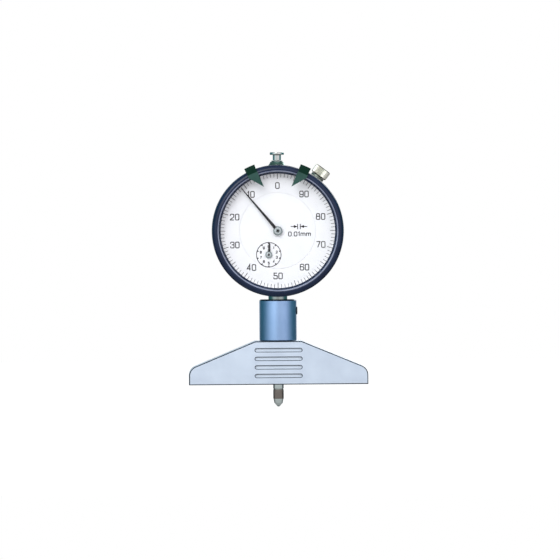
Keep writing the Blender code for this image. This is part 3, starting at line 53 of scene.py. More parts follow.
JOINTS = {joint["name"]: joint for joint in frame["joints"]}
DIAL_CENTRE = Vector(JOINTS["pointer_turn"]["pos_m"])
COUNTER_CENTRE = Vector(JOINTS["counter_turn"]["pos_m"])
CLAMP_CENTRE = Vector(JOINTS["bezel_clamp_turn"]["pos_m"])
CLAMP_AXIS = Vector(JOINTS["bezel_clamp_turn"]["axis"])
AXIS_Y = DIAL_CENTRE.y
BASE_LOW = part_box("base_block")[0].z

# How far a cutter runs past the face that it opens
PAST = 0.5

# Clearance between neighbours, and how far a rim or corner is cut back to a curve
FIT = 0.1
HAIR = 0.05
FINE = 0.08
SOFT = 0.1
ROUND = 0.15
FULL = 0.2
BROAD = 0.3
CREASE = math.radians(35)

# How near in metres two corners of a mesh lie that are one
WELD = 1e-7

RING_SIDES = 256
SHAFT_SIDES = 128
SMALL_SIDES = 64
CORNER_STEPS = 6

# Base, with heights above its measuring face
BASE_HALF_LENGTH = 37.5
BASE_HALF_DEPTH = 8.0
BASE_HEIGHT = 18.2
BASE_HALF_TOP = 9.7
BASE_END_HEIGHT = 6.7
BASE_END_RADIUS = 4.3
BASE_END_STEPS = 16
BASE_EDGE = 0.4
BORE_RADIUS = 2.7
BORE_CHAMFER = 0.3
GROOVE_COUNT = 4
GROOVE_TOP_DISTANCE = 3.74
GROOVE_PITCH = 3.58
GROOVE_RADIUS = 0.9
GROOVE_REACH = 9.15
GROOVE_DEPTH = 0.9
GROOVE_MOUTH = 0.24
GROOVE_FLOOR_INSET = 0.06
GROOVE_FLOOR_RISE = 0.1
GROOVE_END_STEPS = 12

# Sleeve and stem
SLEEVE_RADIUS = 7.8
SLEEVE_LOW = 18.3
SLEEVE_TOP = 35.6
SLEEVE_CHAMFER = 0.5
SLEEVE_FOOT_HEIGHT = 0.3
SLEEVE_FOOT_INSET = 0.25
SPIGOT_RADIUS = 5.5
SPIGOT_LOW = 10.3
SPIGOT_BORE = 3.3
CLAMP_SCREW_HEIGHT = 30.85
CLAMP_SCREW_RADIUS = 1.65
CLAMP_SCREW_OUT = 8.15
SLOT_WIDTH = 0.5
SLOT_DEPTH = 0.45
STEM_RADIUS = 4.0
STEM_BORE = 3.2
STEM_LOW = 20.6
STEM_TOP = 41.3

# Case, cover and boss, with depths from the stem's axis towards the viewer
DIAL_HEIGHT = 64.4
CASE_BORE = 23.2
CASE_LEDGE = 21.6
CASE_NECK = 25.2
CASE_RADIUS = 26.4
CASE_FRONT = 6.0
CASE_SHOULDER = 4.7
CASE_REAR = -7.2
CASE_REAR_ROUND = 0.25
LEDGE_FRONT = 2.6
COVER_RADIUS = 25.9
COVER_FRONT = -7.3
COVER_BACK = -8.6
COVER_CHAMFER = 0.5
COVER_STEP = 21.8
COVER_DISH = 17.5
COVER_DISH_SLOPE = 0.3
COVER_DISH_DEPTH = 0.15
COVER_SCREW_RADIUS = 1.4
COVER_SCREW_CIRCLE = 24.0
COVER_SCREWS = 4
COVER_SCREW_DEPTH = 0.75
COVER_SCREW_SUNK = 0.1
COVER_SEAT_DEPTH = 0.8
COVER_SEAT_MOUTH = 0.25
COVER_SLOT_WIDTH = 0.4
COVER_SLOT_DEPTH = 0.35
COVER_SLOT_TURN = math.radians(35)
COVER_SLOT_TURN_STEP = math.radians(50)
BOSS_RADIUS = 4.3
BOSS_TOP_RADIUS = 2.5
BOSS_ROOT = 24.8
BOSS_SHOULDER = 26.8
BOSS_TOP = 28.9
BOSS_RIM = 0.25
BOSS_SLOPE = 0.6
BUSH_BORE = 1.65
BUSH_HOLE = 2.15
BUSH_FLANGE = 0.4
BUSH_FLANGE_ROUND = 0.12
BUSH_LENGTH = 6.5

# The groove round the cover's back: points inwards from its step and up from its back
COVER_GROOVE = ((0.5, 0.3), (1.3, 0.3), (1.8, 0))

# The boss's stepped flank: points out from its top's radius and down from its top
BOSS_FLANK = ((0.48, 0.4), (0.44, 0.5), (0.78, 0.9), (0.74, 1.0))

# Bezel and crystal
BEZEL_RADIUS = 27.6
BEZEL_RIDGE = 25.4
BEAD_INNER = 24.75
BEAD_OUTER = 25.2
BEAD_LEAN = 0.08
BEAD_INNER_DROP = 0.3
BEAD_OUTER_DROP = 0.04
BEZEL_BACK = 4.9
BEZEL_SKIRT = 25.3
BEZEL_SEAT = 24.9
RIDGE_FRONT = 12.8
SLOPE_START = 0.25
SLOPE_FOOT = 10.3
SLOPE_STEPS = 12
SLOPE_EVEN = 0.06
SLOPE_POWER = 2.2
BEZEL_CORNER_STEPS = 3
LIP_FRONT = 11.2
LIP_RISE = 0.9
LIP_BACK = 10.8
RIM_GROOVE_RADIUS = 27.1
RIM_GROOVE_BACK = 6.5
RIM_GROOVE_FRONT = 7.4
RIM_KNURL_LOW = 7.7
RIM_KNURL_HIGH = 9.9
RIM_KNURL_DEPTH = 0.22
RIM_KNURL_STEP = 0.02
RIM_KNURLS = 180
SPRING_RING_BACK = 5.09
SPRING_RING_FRONT = 5.61
SPRING_RING_RADIUS = 25.75
VISIBLE_RADIUS = 23.9
CRYSTAL_RADIUS = 24.8
CRYSTAL_BACK = 9.2
CRYSTAL_FRONT = 10.3

# How near to a knurled piece's outside the corners lie that its knurl cuts
KNURL_SLACK = 0.01

# Dial
DIAL_BACK = 6.9
DIAL_FRONT = 7.3
INNER_DIAL_RADIUS = 15.9
RING_INNER_RADIUS = 16.15
RING_STEP = 0.15
RING_LAP = 0.03
DISC_BORE = 0.9
DISC_ROUND = 0.06
PRINT = 0.03
PRINT_GAP = 0.005

# Hands, with each needle's widths at its root and tip, and their distances from its axis
POINTER_ANGLE = math.radians(40.2)
POINTER_BACK = 8.5
POINTER_FRONT = 8.7
POINTER_WIDTHS = (1.25, 0.36)
POINTER_REACH = (1.3, 23.5)
POINTER_CAP_RADIUS = 1.45
POINTER_CAP_RISE = 0.2
POINTER_CAP_NECK = 1.36
POINTER_BORE = 0.5
COUNTER_ANGLE = math.radians(-4.0)
COUNTER_HAND_BACK = 7.8
COUNTER_HAND_FRONT = 8.0
COUNTER_HAND_WIDTHS = (0.9, 0.5)
COUNTER_HAND_REACH = (1.2, 4.9)
NEEDLE_EDGE = 0.03
PIVOT_ROUND = 0.04

# Rings and pivots on the hubs: their inner and outer radius, and depths from the hand's front
POINTER_HUB = (0.8, 1.96, -0.2, 0)
POINTER_COLLET = (0.5, 0.85, 0, 0.24)
POINTER_PIVOT = (0, 0.5, -0.2, 0.44)
COUNTER_HUB = (0.43, 1.45, -0.2, 0)
COUNTER_CAP = (0.4, 1.0, 0, 0.12)
COUNTER_PIVOT = (0, 0.48, 0, 0.16)

# Limit hands
LIMIT_ANGLE = math.radians(23.8)
LIMIT_WIDTH = 4.4
LIMIT_TIP_RADIUS = 19.15
LIMIT_ARROW_RADIUS = 25.0
LIMIT_TAB_INNER = 26.15
LIMIT_TAB_OUTER = 29.38
LIMIT_WALL_INNER = 27.8
LIMIT_WALL_OUTER = 28.4
LIMIT_PLATE_BACK = 13.0
LIMIT_PLATE_FRONT = 13.6
FRONT_REACH = 13.7
LIMIT_TAB_DEPTH = 1.4
LIMIT_LAP = 0.3
LIMIT_SIDES = 24
LIMIT_CORNER_STEPS = 4

# Clamp knob, with heights from the dial's centre along its own axis
KNOB_RADIUS = 3.55
KNOB_START = 28.7
KNOB_END = 32.5
KNOB_TEETH = 56
KNOB_KNURL_DEPTH = 0.16
KNOB_KNURL_MARGIN = 0.3
KNOB_CHAMFER = 0.45
KNOB_CHAMFER_HEIGHT = 0.35
KNOB_EDGE_HEIGHT = 0.36
KNOB_WALL = 1.0
COLLAR_RADIUS = 2.9
COLLAR_START = 27.4
COLLAR_END = 28.6
STUD_BORE = 1.3

# Clamp shoe, with its reach along the gauge's depth from the clamp's axis
SHOE_LOW = 26.5
SHOE_HIGH = 27.2
SHOE_HALF_WIDTH = 3.0
SHOE_BACK = -3.6
SHOE_CORNER = 0.8

# Spindle, its rack and the hole for its guide pin
SPINDLE_RADIUS = 2.4
SPINDLE_TOP_RADIUS = 1.6
SPINDLE_LOW = 2.0
SPINDLE_STEP = 62.0
SPINDLE_SHOULDER = 93.8
SPINDLE_TOP = 96.1
CAP_STUD_RADIUS = 1.0
CONTACT_SOCKET_RADIUS = 1.3
CONTACT_SOCKET_TOP = 5.0
GUIDE_HEIGHT = 60.0
GUIDE_HOLE_RADIUS = 0.6
GUIDE_HOLE_START = 0.8
RACK_MIDDLE = 54.4
RACK_PITCH = 0.625
RACK_GAPS_BELOW = 18
RACK_GAPS_ABOVE = 2
RACK_TIP = 2.37
RACK_ROOT = 1.92
RACK_MOUTH = 0.231
RACK_FLOOR = 0.119

# Cap and contact point, with heights above the measuring face
CAP_LOW = 93.9
CAP_TOP = 97.3
CAP_NECK = 1.75
CAP_FLANGE = 3.0
CAP_FLANGE_LOW = 96.2
CAP_FILLET = 0.25
CONTACT_RADIUS = 2.2
CONTACT_TOP = 1.9
CONTACT_STUD_RADIUS = 1.2
CONTACT_STUD_LENGTH = 3.0
CONTACT_NECK = (-1.75, -1.9, -2.1, -2.25)
CONTACT_NECK_DEPTH = 0.2
CONTACT_LOW = -9.4
CONTACT_TAPER_TOP = -6.1
CONTACT_TAPER_SHOULDER = 0.25
CONTACT_TAPER_INSET = 0.1
CONTACT_NOSE_TOP = -7.85
CONTACT_NOSE = 1.75
CONTACT_BALL = 0.9
CONTACT_BALL_START = -math.pi / 5
CONTACT_BALL_STEPS = 8
CONTACT_TIP_TOP = -8.8
CONTACT_TEETH = 40
CONTACT_KNURL_TOP = -2.2
CONTACT_KNURL_MARGIN = 0.2
CONTACT_KNURL_DEPTH = 0.05


def place_of(origin, first, second, third):
    """The matrix of a place: its three axes, its origin in metres, and lengths in millimetres."""
    axes = Matrix((first, second, third)).transposed().to_4x4()
    return Matrix.Translation(origin) @ axes @ Matrix.Scale(MM, 4)


ACROSS = Vector((1, 0, 0))
FORWARD = Vector((0, -1, 0))
UP = Vector((0, 0, 1))
GAUGE = place_of(Vector((0, AXIS_Y, BASE_LOW)), ACROSS, -FORWARD, UP)
DIAL = place_of(DIAL_CENTRE, ACROSS, UP, FORWARD)
COUNTER = place_of(COUNTER_CENTRE, ACROSS, UP, FORWARD)
CLAMP = place_of(CLAMP_CENTRE, FORWARD, CLAMP_AXIS.cross(FORWARD), CLAMP_AXIS)
FACE_ON = place_of(Vector((0, AXIS_Y, BASE_LOW)), ACROSS, UP, FORWARD)


def facing_right(height):
    """The place at this height on the stem's axis that looks to the gauge's right."""
    return place_of(Vector((0, AXIS_Y, BASE_LOW + height * MM)), FORWARD, UP, ACROSS)


# Shapes in two dimensions


def polar(radius, angle):
    """The point at this radius, with the angle anticlockwise from the top."""
    return (-radius * math.sin(angle), radius * math.cos(angle))


def rounded(corners, steps=CORNER_STEPS, closed=True):
    """An outline or path whose corners may be cut back to a curve by their third value."""
    smooth = []
    for index, corner in enumerate(corners):
        point = Vector(corner[:2])
        at_end = not closed and index in (0, len(corners) - 1)
        if len(corner) == 2 or not corner[2] or at_end:
            smooth.append(tuple(point))
            continue
        before = Vector(corners[index - 1][:2]) - point
        after = Vector(corners[(index + 1) % len(corners)][:2]) - point
        start = point + before.normalized() * corner[2]
        end = point + after.normalized() * corner[2]
        for step in range(steps + 1):
            share = step / steps
            smooth.append(tuple(start.lerp(point, share).lerp(point.lerp(end, share), share)))
    return smooth


def arc(centre, radius, start, end, steps):
    turns = [start + (end - start) * index / steps for index in range(steps + 1)]
    return [(centre[0] + radius * math.cos(t), centre[1] + radius * math.sin(t)) for t in turns]


def inset(outline, distance):
    """An anticlockwise outline with each of its sides moved inwards."""
    moved = []
    for index, point in enumerate(outline):
        here = Vector(point)
        before = (here - Vector(outline[index - 1])).normalized()
        after = (Vector(outline[(index + 1) % len(outline)]) - here).normalized()
        one = Vector((-before.y, before.x))
        two = Vector((-after.y, after.x))
        moved.append(tuple(here + (one + two) * distance / (1 + one.dot(two))))
    return moved


def stadium(reach, radius):
    """A slot's outline: two half circles whose centres lie at -reach and reach."""
    right = arc((reach, 0), radius, -math.pi / 2, math.pi / 2, GROOVE_END_STEPS)
    left = arc((-reach, 0), radius, math.pi / 2, 3 * math.pi / 2, GROOVE_END_STEPS)
    return right + left


def ribbon(path, width, closed=False):
    """The two edges of a line with this width along a path, as a pair of points at each corner."""
    sides = []
    for index, point in enumerate(path):
        here = Vector(point)
        follows = closed or index > 0
        leads = closed or index < len(path) - 1
        before = here - Vector(path[index - 1]) if follows else None
        after = Vector(path[(index + 1) % len(path)]) - here if leads else before
        one = (before or after).normalized()
        two = after.normalized()
        offset = Vector((-one.y - two.y, one.x + two.x)) * width / 2 / (1 + one.dot(two))
        sides.append((here - offset, here + offset))
    return sides


# Meshes


def as_object(name, shape, finishes):
    """A mesh object from a bmesh in metres, with its faces turned outwards."""
    bmesh.ops.recalc_face_normals(shape, faces=shape.faces)
    mesh = bpy.data.meshes.new(name)
    shape.to_mesh(mesh)
    shape.free()
    for finish in finishes:
        mesh.materials.append(finish)
    made = bpy.data.objects.new(name, mesh)
    bpy.context.scene.collection.objects.link(made)
    return made


def smooth_but_for_edges(mesh):
    mesh.shade_smooth()
    mesh.set_sharp_from_angle(angle=CREASE)


def finished(name, shape, finishes):
    """A welded mesh object, smooth but for its sharp edges."""
    bmesh.ops.remove_doubles(shape, verts=shape.verts, dist=WELD)
    made = as_object(name, shape, finishes)
    smooth_but_for_edges(made.data)
    return made


def lathe(
    name,
    corners,
    place,
    finishes,
    sides=SHAFT_SIDES,
    knurl=None,
    finish_of=None,
    sweep=None,
    steps=CORNER_STEPS,
):
    """A closed profile of radius and height, whose corners may be rounded, turned about the third axis.

    A knurl is its lowest and highest height, its depth and the least radius that it cuts.
    """
    profile = rounded(corners, steps)
    shape = bmesh.new()
    start, end = sweep or (0.0, math.tau)
    columns = sides if sweep is None else sides + 1
    rows = []
    for column in range(columns):
        angle = start + (end - start) * column / sides
        row = []
        for radius, height in profile:
            if knurl and column % 2 and knurl[0] <= height <= knurl[1] and radius >= knurl[3]:
                radius -= knurl[2]
            point = Vector((radius * math.cos(angle), radius * math.sin(angle), height))
            row.append(shape.verts.new(place @ point))
        rows.append(row)
    for column in range(sides):
        one = rows[column]
        two = rows[(column + 1) % columns]
        for index, (radius, height) in enumerate(profile):
            after = (index + 1) % len(profile)
            if radius == 0 and profile[after][0] == 0:
                continue
            around = [one[index], two[index], two[after], one[after]]
            if radius == 0:
                around = [one[index], two[after], one[after]]
            if profile[after][0] == 0:
                around = [one[index], two[index], one[after]]
            face = shape.faces.new(around)
            if finish_of:
                middle = ((radius + profile[after][0]) / 2, (height + profile[after][1]) / 2)
                face.material_index = finish_of(*middle)
    if sweep:
        shape.faces.new(rows[0])
        shape.faces.new(list(reversed(rows[-1])))
    return finished(name, shape, finishes)


def stack(name, layers, place, finishes, kinds=None):
    """A solid through layers of an outline and its height, whose outlines have as many points each."""
    shape = bmesh.new()
    rows = []
    for outline, height in layers:
        rows.append([shape.verts.new(place @ Vector((x, y, height))) for x, y in outline])
    shape.faces.new(list(reversed(rows[0])))
    shape.faces.new(rows[-1])
    for band, (low, high) in enumerate(zip(rows, rows[1:])):
        for index in range(len(low)):
            after = (index + 1) % len(low)
            face = shape.faces.new((low[index], low[after], high[after], high[index]))
            if kinds:
                face.material_index = kinds[band]
    return finished(name, shape, finishes)


def bevelled_plate(name, outline, low, high, place, finish, edge):
    """A flat piece whose front and back rims are broken by a small chamfer."""
    inner = inset(outline, edge)
    layers = [(inner, low), (outline, low + edge), (outline, high - edge), (inner, high)]
    return stack(name, layers, place, [finish])


def combine(piece, others, operation):
    """Cuts the others from a piece, or joins them to it, and keeps the result as its mesh."""
    for other in others:
        change = piece.modifiers.new("combine", "BOOLEAN")
        change.operation = operation
        change.object = other
        change.solver = "EXACT"
        change.material_mode = "TRANSFER"
    bpy.context.view_layer.update()
    shown = piece.evaluated_get(bpy.context.evaluated_depsgraph_get())
    mesh = bpy.data.meshes.new_from_object(shown)
    shape = bmesh.new()
    shape.from_mesh(mesh)
    bmesh.ops.remove_doubles(shape, verts=shape.verts, dist=WELD)
    bmesh.ops.dissolve_degenerate(shape, edges=shape.edges, dist=WELD)
    shape.to_mesh(mesh)
    shape.free()
    piece.modifiers.clear()
    piece.data = mesh
    smooth_but_for_edges(mesh)
    for other in others:
        bpy.data.objects.remove(other)
    return piece


def cut(piece, *cutters):
    return combine(piece, cutters, "DIFFERENCE")


def ring(name, inner, outer, low, high, place, finish, above=0, below=0, inside=0, sides=SMALL_SIDES):
    """A ring with rounded rims: the outer one above, the outer one below, and both inner ones."""
    corners = [(inner, high, inside), (outer, high, above), (outer, low, below), (inner, low, inside)]
    return lathe(name, corners, place, [finish], sides)


def rod(name, radius, low, high, place, finish, sides=SMALL_SIDES):
    return ring(name, 0, radius, low, high, place, finish, sides=sides)


# Finishes


def linear(channel):
    """One colour channel of 255 as a linear value."""
    share = channel / 255
    return share / 12.92 if share <= 0.04045 else ((share + 0.055) / 1.055) ** 2.4


def colour(red, green, blue):
    return (linear(red), linear(green), linear(blue), 1.0)


def spread(tree, source, reach, values, **settings):
    """The source's numbers within a reach, spread from one value to another."""
    made = tree.nodes.new("ShaderNodeMapRange")
    for name, value in settings.items():
        setattr(made, name, value)
    for socket, value in zip(("From Min", "From Max", "To Min", "To Max"), (*reach, *values)):
        made.inputs[socket].default_value = value
    tree.links.new(source, made.inputs["Value"])
    return made.outputs["Result"]


# The middle of a noise, which holds nearly all of its values
NOISE_REACH = (0.3, 0.7)


class Surface:
    """A Principled material with helpers for the nodes that vary it over the surface."""

    def __init__(self, name, metallic, roughness, specular=0.5):
        self.material = bpy.data.materials.new(name)
        self.material.use_nodes = True
        self.tree = self.material.node_tree
        self.shader = self.tree.nodes["Principled BSDF"]
        self.shader.inputs["Metallic"].default_value = metallic
        self.shader.inputs["Roughness"].default_value = roughness
        self.shader.inputs["Specular IOR Level"].default_value = specular
        self.place = self.node("ShaderNodeTexCoord").outputs["Object"]

    def node(self, kind, **values):
        made = self.tree.nodes.new(kind)
        for name, value in values.items():
            setattr(made, name, value)
        return made

    def link(self, source, target):
        self.tree.links.new(source, target)

    def noise(self, scale, stretch=(1, 1, 1), detail=3.0, source=None):
        """Noise over the piece, with its scale per axis in bumps a metre."""
        mapping = self.node("ShaderNodeMapping")
        mapping.inputs["Scale"].default_value = [scale * share for share in stretch]
        self.link(source or self.place, mapping.inputs["Vector"])
        made = self.node("ShaderNodeTexNoise")
        made.inputs["Scale"].default_value = 1.0
        made.inputs["Detail"].default_value = detail
        self.link(mapping.outputs["Vector"], made.inputs["Vector"])
        return made.outputs["Fac"]

    def rings(self, centre):
        """The distance from the dial's axis as a vector, for marks that run round it."""
        shift = self.node("ShaderNodeVectorMath", operation="SUBTRACT")
        shift.inputs[1].default_value = centre
        flatten = self.node("ShaderNodeVectorMath", operation="MULTIPLY")
        flatten.inputs[1].default_value = (1, 0, 1)
        length = self.node("ShaderNodeVectorMath", operation="LENGTH")
        pack = self.node("ShaderNodeCombineXYZ")
        self.link(self.place, shift.inputs[0])
        self.link(shift.outputs["Vector"], flatten.inputs[0])
        self.link(flatten.outputs["Vector"], length.inputs[0])
        self.link(length.outputs["Value"], pack.inputs["X"])
        return pack.outputs["Vector"]

    def tint(self, factor, one, two):
        """The base colour runs from one colour to the other as the factor does."""
        ramp = self.node("ShaderNodeValToRGB")
        for element, position, tone in zip(ramp.color_ramp.elements, NOISE_REACH, (one, two)):
            element.position = position
            element.color = colour(*tone)
        self.link(factor, ramp.inputs["Fac"])
        self.link(ramp.outputs["Color"], self.shader.inputs["Base Color"])

    def gloss(self, factor, low, high):
        self.link(spread(self.tree, factor, NOISE_REACH, (low, high)), self.shader.inputs["Roughness"])

    def relief(self, factor, depth):
        bump = self.node("ShaderNodeBump")
        bump.inputs["Distance"].default_value = depth * MM
        bump.inputs["Strength"].default_value = 1.0
        self.link(factor, bump.inputs["Height"])
        self.link(bump.outputs["Normal"], self.shader.inputs["Normal"])


# A grain's marks: their stretch along each axis and their number in a metre
GRAINS = {"even": ((1, 1, 1), 900), "along": ((0.04, 1, 1.6), 2500), "dial": ((1, 1, 1), 3500)}
METAL_PATCHES = 120
PAINT_PATCHES = 260


def metal(name, one, two, roughness, grain="even", metallic=1.0, depth=0.004):
    """A machined metal: its marks are even, or run along X or round the dial."""
    surface = Surface(name, metallic, sum(roughness) / 2)
    stretch, scale = GRAINS[grain]
    source = surface.rings(DIAL_CENTRE) if grain == "dial" else None
    marks = surface.noise(scale, stretch, 4.0, source)
    surface.tint(surface.noise(METAL_PATCHES, detail=2.0), one, two)
    surface.gloss(marks, *roughness)
    surface.relief(marks, depth)
    return surface.material


def paint(name, one, two, roughness, grain=1400, depth=0.006, specular=0.5, metallic=0.0):
    """A paint or lacquer with a fine orange peel and slightly uneven colour."""
    surface = Surface(name, metallic, sum(roughness) / 2, specular)
    surface.tint(surface.noise(PAINT_PATCHES), one, two)
    surface.gloss(surface.noise(grain), *roughness)
    surface.relief(surface.noise(grain, detail=2.0), depth)
    return surface.material


BASE_STEEL = metal("ground_base", (187, 197, 210), (197, 207, 219), (0.32, 0.44), "along", 0.5)
# Painted shade: a darker copy of the ground steel on the block's chamfers and its grooves' walls
BASE_RIM_SHADE = metal("ground_base_edge_painted_shade", (40, 47, 57), (52, 60, 70), (0.3, 0.45), "along", 0.6)
# Painted light: a lighter copy of the ground steel on the grooves' floors, against the shade in the grooves
BASE_FLOOR_LIGHT = metal("groove_floor_painted_light", (196, 207, 219), (206, 216, 227), (0.35, 0.5), "along", 0.4)
SLEEVE_BLUE = metal("blue_anodised", (133, 161, 196), (141, 168, 202), (0.28, 0.4), depth=0.002)
# Painted shade: a darker copy of the anodised blue on the sleeve's top, chamfers and foot
SLEEVE_RIM_SHADE = metal("blue_anodised_edge_painted_shade", (38, 56, 78), (46, 64, 86), (0.25, 0.35), metallic=0.8)
STEEL = metal("turned_steel", (170, 172, 172), (182, 184, 184), (0.2, 0.34))
# Painted shade: ground steel darkened for the stem's place in the shade between the bezel and the sleeve; the
# bush and spindle share it
SHADED_SHAFT_STEEL = metal("ground_shaft_painted_shade", (122, 130, 126), (136, 143, 138), (0.08, 0.14), depth=0.002)
DARK_STEEL = metal("blackened_steel", (52, 56, 62), (66, 70, 76), (0.3, 0.45))
CONTACT_STEEL = metal("contact_steel", (206, 217, 215), (216, 226, 224), (0.05, 0.1), depth=0.001)
# Painted shade: the contact's ball tip is a dark teal copy of its steel, for the dark reflections on it
CONTACT_TIP_SHADE = metal("contact_tip_painted_shade", (62, 78, 78), (74, 90, 90), (0.06, 0.12), depth=0.001)
KNURL_STEEL = metal("contact_knurl", (134, 125, 119), (148, 140, 133), (0.1, 0.16), depth=0.001)
CHROME = metal("polished_chrome", (172, 174, 168), (182, 184, 178), (0.1, 0.17), depth=0.001)
KNOB_SILVER = metal("silvered_knob", (192, 191, 178), (204, 203, 190), (0.3, 0.42), metallic=0.85)
# Painted shade: a dark copy of the knob's silver on its chamfered ends, for their dark outlines
KNOB_EDGE_SHADE = metal("knob_edge_painted_shade", (84, 84, 74), (98, 98, 87), (0.3, 0.42), metallic=0.85)
COLLAR_GREY = metal("collar_grey", (108, 116, 106), (122, 129, 118), (0.3, 0.42), metallic=0.7)
BRASS = metal("clock_brass", (196, 164, 96), (210, 180, 112), (0.2, 0.34), "dial")
SPRING_STEEL = metal("tempered_spring", (112, 116, 124), (126, 130, 138), (0.25, 0.35))
HUB_GREY = metal("hub_grey", (112, 122, 122), (128, 138, 138), (0.28, 0.4), "dial", 0.5)
CAP_GREY = metal("cap_grey", (172, 178, 178), (184, 190, 190), (0.2, 0.3), "dial", 0.6)
BEZEL_NAVY = paint("navy_enamel", (16, 27, 50), (22, 35, 60), (0.2, 0.3), specular=0.22)
# Painted highlight: a pale copy of the navy enamel on the bead at the ridge, in place of the highlight along
# it
BEZEL_RIDGE_HIGHLIGHT = paint("navy_enamel_painted_highlight", (112, 118, 140), (138, 143, 162), (0.26, 0.38), specular=0.3)
COVER_NAVY = paint("navy_cover", (38, 46, 72), (46, 55, 82), (0.28, 0.4), 2200, 0.01)
CASE_GREEN = paint("green_enamel", (76, 104, 94), (82, 111, 100), (0.18, 0.27), metallic=0.7)
TAB_GREEN = paint("dark_green_tab", (2, 34, 24), (4, 42, 30), (0.34, 0.48), specular=0.08)
ARROW_GREEN = paint("green_arrow", (38, 68, 61), (48, 79, 71), (0.36, 0.48), specular=0.15)
DIAL_WHITE = paint("dial_white", (229, 228, 229), (232, 231, 232), (0.5, 0.6), 3000, 0.002, specular=0.3)
RING_PRINT = paint("dial_print", (42, 38, 36), (54, 50, 48), (0.5, 0.6), 3000, 0.002, specular=0.1)
TICK_PRINT = paint("tick_print", (78, 74, 72), (92, 88, 86), (0.5, 0.6), 3000, 0.002, specular=0.1)
BROWN_PRINT = paint("counter_print", (34, 22, 24), (44, 30, 32), (0.5, 0.6), 3000, 0.002, specular=0.1)
HAND_BLACK = paint("hand_black", (12, 10, 13), (20, 17, 20), (0.3, 0.42), specular=0.15)
GASKET = paint("gasket_black", (16, 13, 24), (24, 20, 32), (0.6, 0.75), 2600, 0.02, specular=0.2)


# How much of the crystal shows, from face on to edge on, and from where it starts to show more
CRYSTAL_SHOWS = (0.012, 0.8)
CRYSTAL_GLANCE = (0.3, 1.0)
CRYSTAL_PATCHES = 90
CRYSTAL_GRAIN = 160


def crystal_finish():
    """Clear acrylic: it shows its polish only where light glances off it."""
    surface = Surface("clear_crystal", 1.0, 0.04)
    surface.tint(surface.noise(CRYSTAL_PATCHES), (246, 250, 252), (250, 252, 253))
    surface.gloss(surface.noise(CRYSTAL_GRAIN), 0.03, 0.06)
    facing = surface.node("ShaderNodeLayerWeight").outputs["Facing"]
    shows = spread(surface.tree, facing, CRYSTAL_GLANCE, CRYSTAL_SHOWS, interpolation_type="SMOOTHERSTEP")
    surface.link(shows, surface.shader.inputs["Alpha"])
    surface.material.surface_render_method = "BLENDED"
    return surface.material


CRYSTAL_CLEAR = crystal_finish()

# What each of the record's material slots looks like on the nodes that stay
SLOT_FINISH = {
    "base_steel": BASE_STEEL,
    "sleeve_blue": SLEEVE_BLUE,
    "bezel_navy": BEZEL_NAVY,
    "case_green": CASE_GREEN,
    "tab_green": TAB_GREEN,
    "steel": STEEL,
    "dark_steel": DARK_STEEL,
    "contact_steel": CONTACT_STEEL,
    "cap_chrome": CHROME,
    "knob_silver": KNOB_SILVER,
    "brass": BRASS,
    "spring_steel": SPRING_STEEL,
    "dial_white": DIAL_WHITE,
    "hand_black": HAND_BLACK,
    "crystal_clear": CRYSTAL_CLEAR,
    "gasket_black": GASKET,
}


def dress_nodes():
    for node in frame["nodes"].values():
        for slot in node.material_slots:
            slot.material = SLOT_FINISH[slot.material.name]


def settle(piece, body, slot, *nodes):
    """The piece rides a body and stands for the nodes, which are hidden. The slot is not used."""
    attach(piece, body)
    if nodes:
        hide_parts(*nodes)


# The gauge's body


def base_outline():
    """The sloped block seen from the front, anticlockwise from its lower left corner."""
    slope = Vector((BASE_HALF_TOP - BASE_HALF_LENGTH, BASE_HEIGHT - BASE_END_HEIGHT))
    lean = math.atan2(-slope.x, slope.y)
    reach = BASE_END_RADIUS * math.tan(lean / 2)
    centre = (BASE_HALF_LENGTH - BASE_END_RADIUS, BASE_END_HEIGHT - reach)
    right = arc(centre, BASE_END_RADIUS, 0, lean, BASE_END_STEPS)
    left = [(-x, z) for x, z in reversed(right)]
    bottom = [(-BASE_HALF_LENGTH, 0), (BASE_HALF_LENGTH, 0)]
    top = [(BASE_HALF_TOP, BASE_HEIGHT), (-BASE_HALF_TOP, BASE_HEIGHT)]
    return bottom + right + top + left


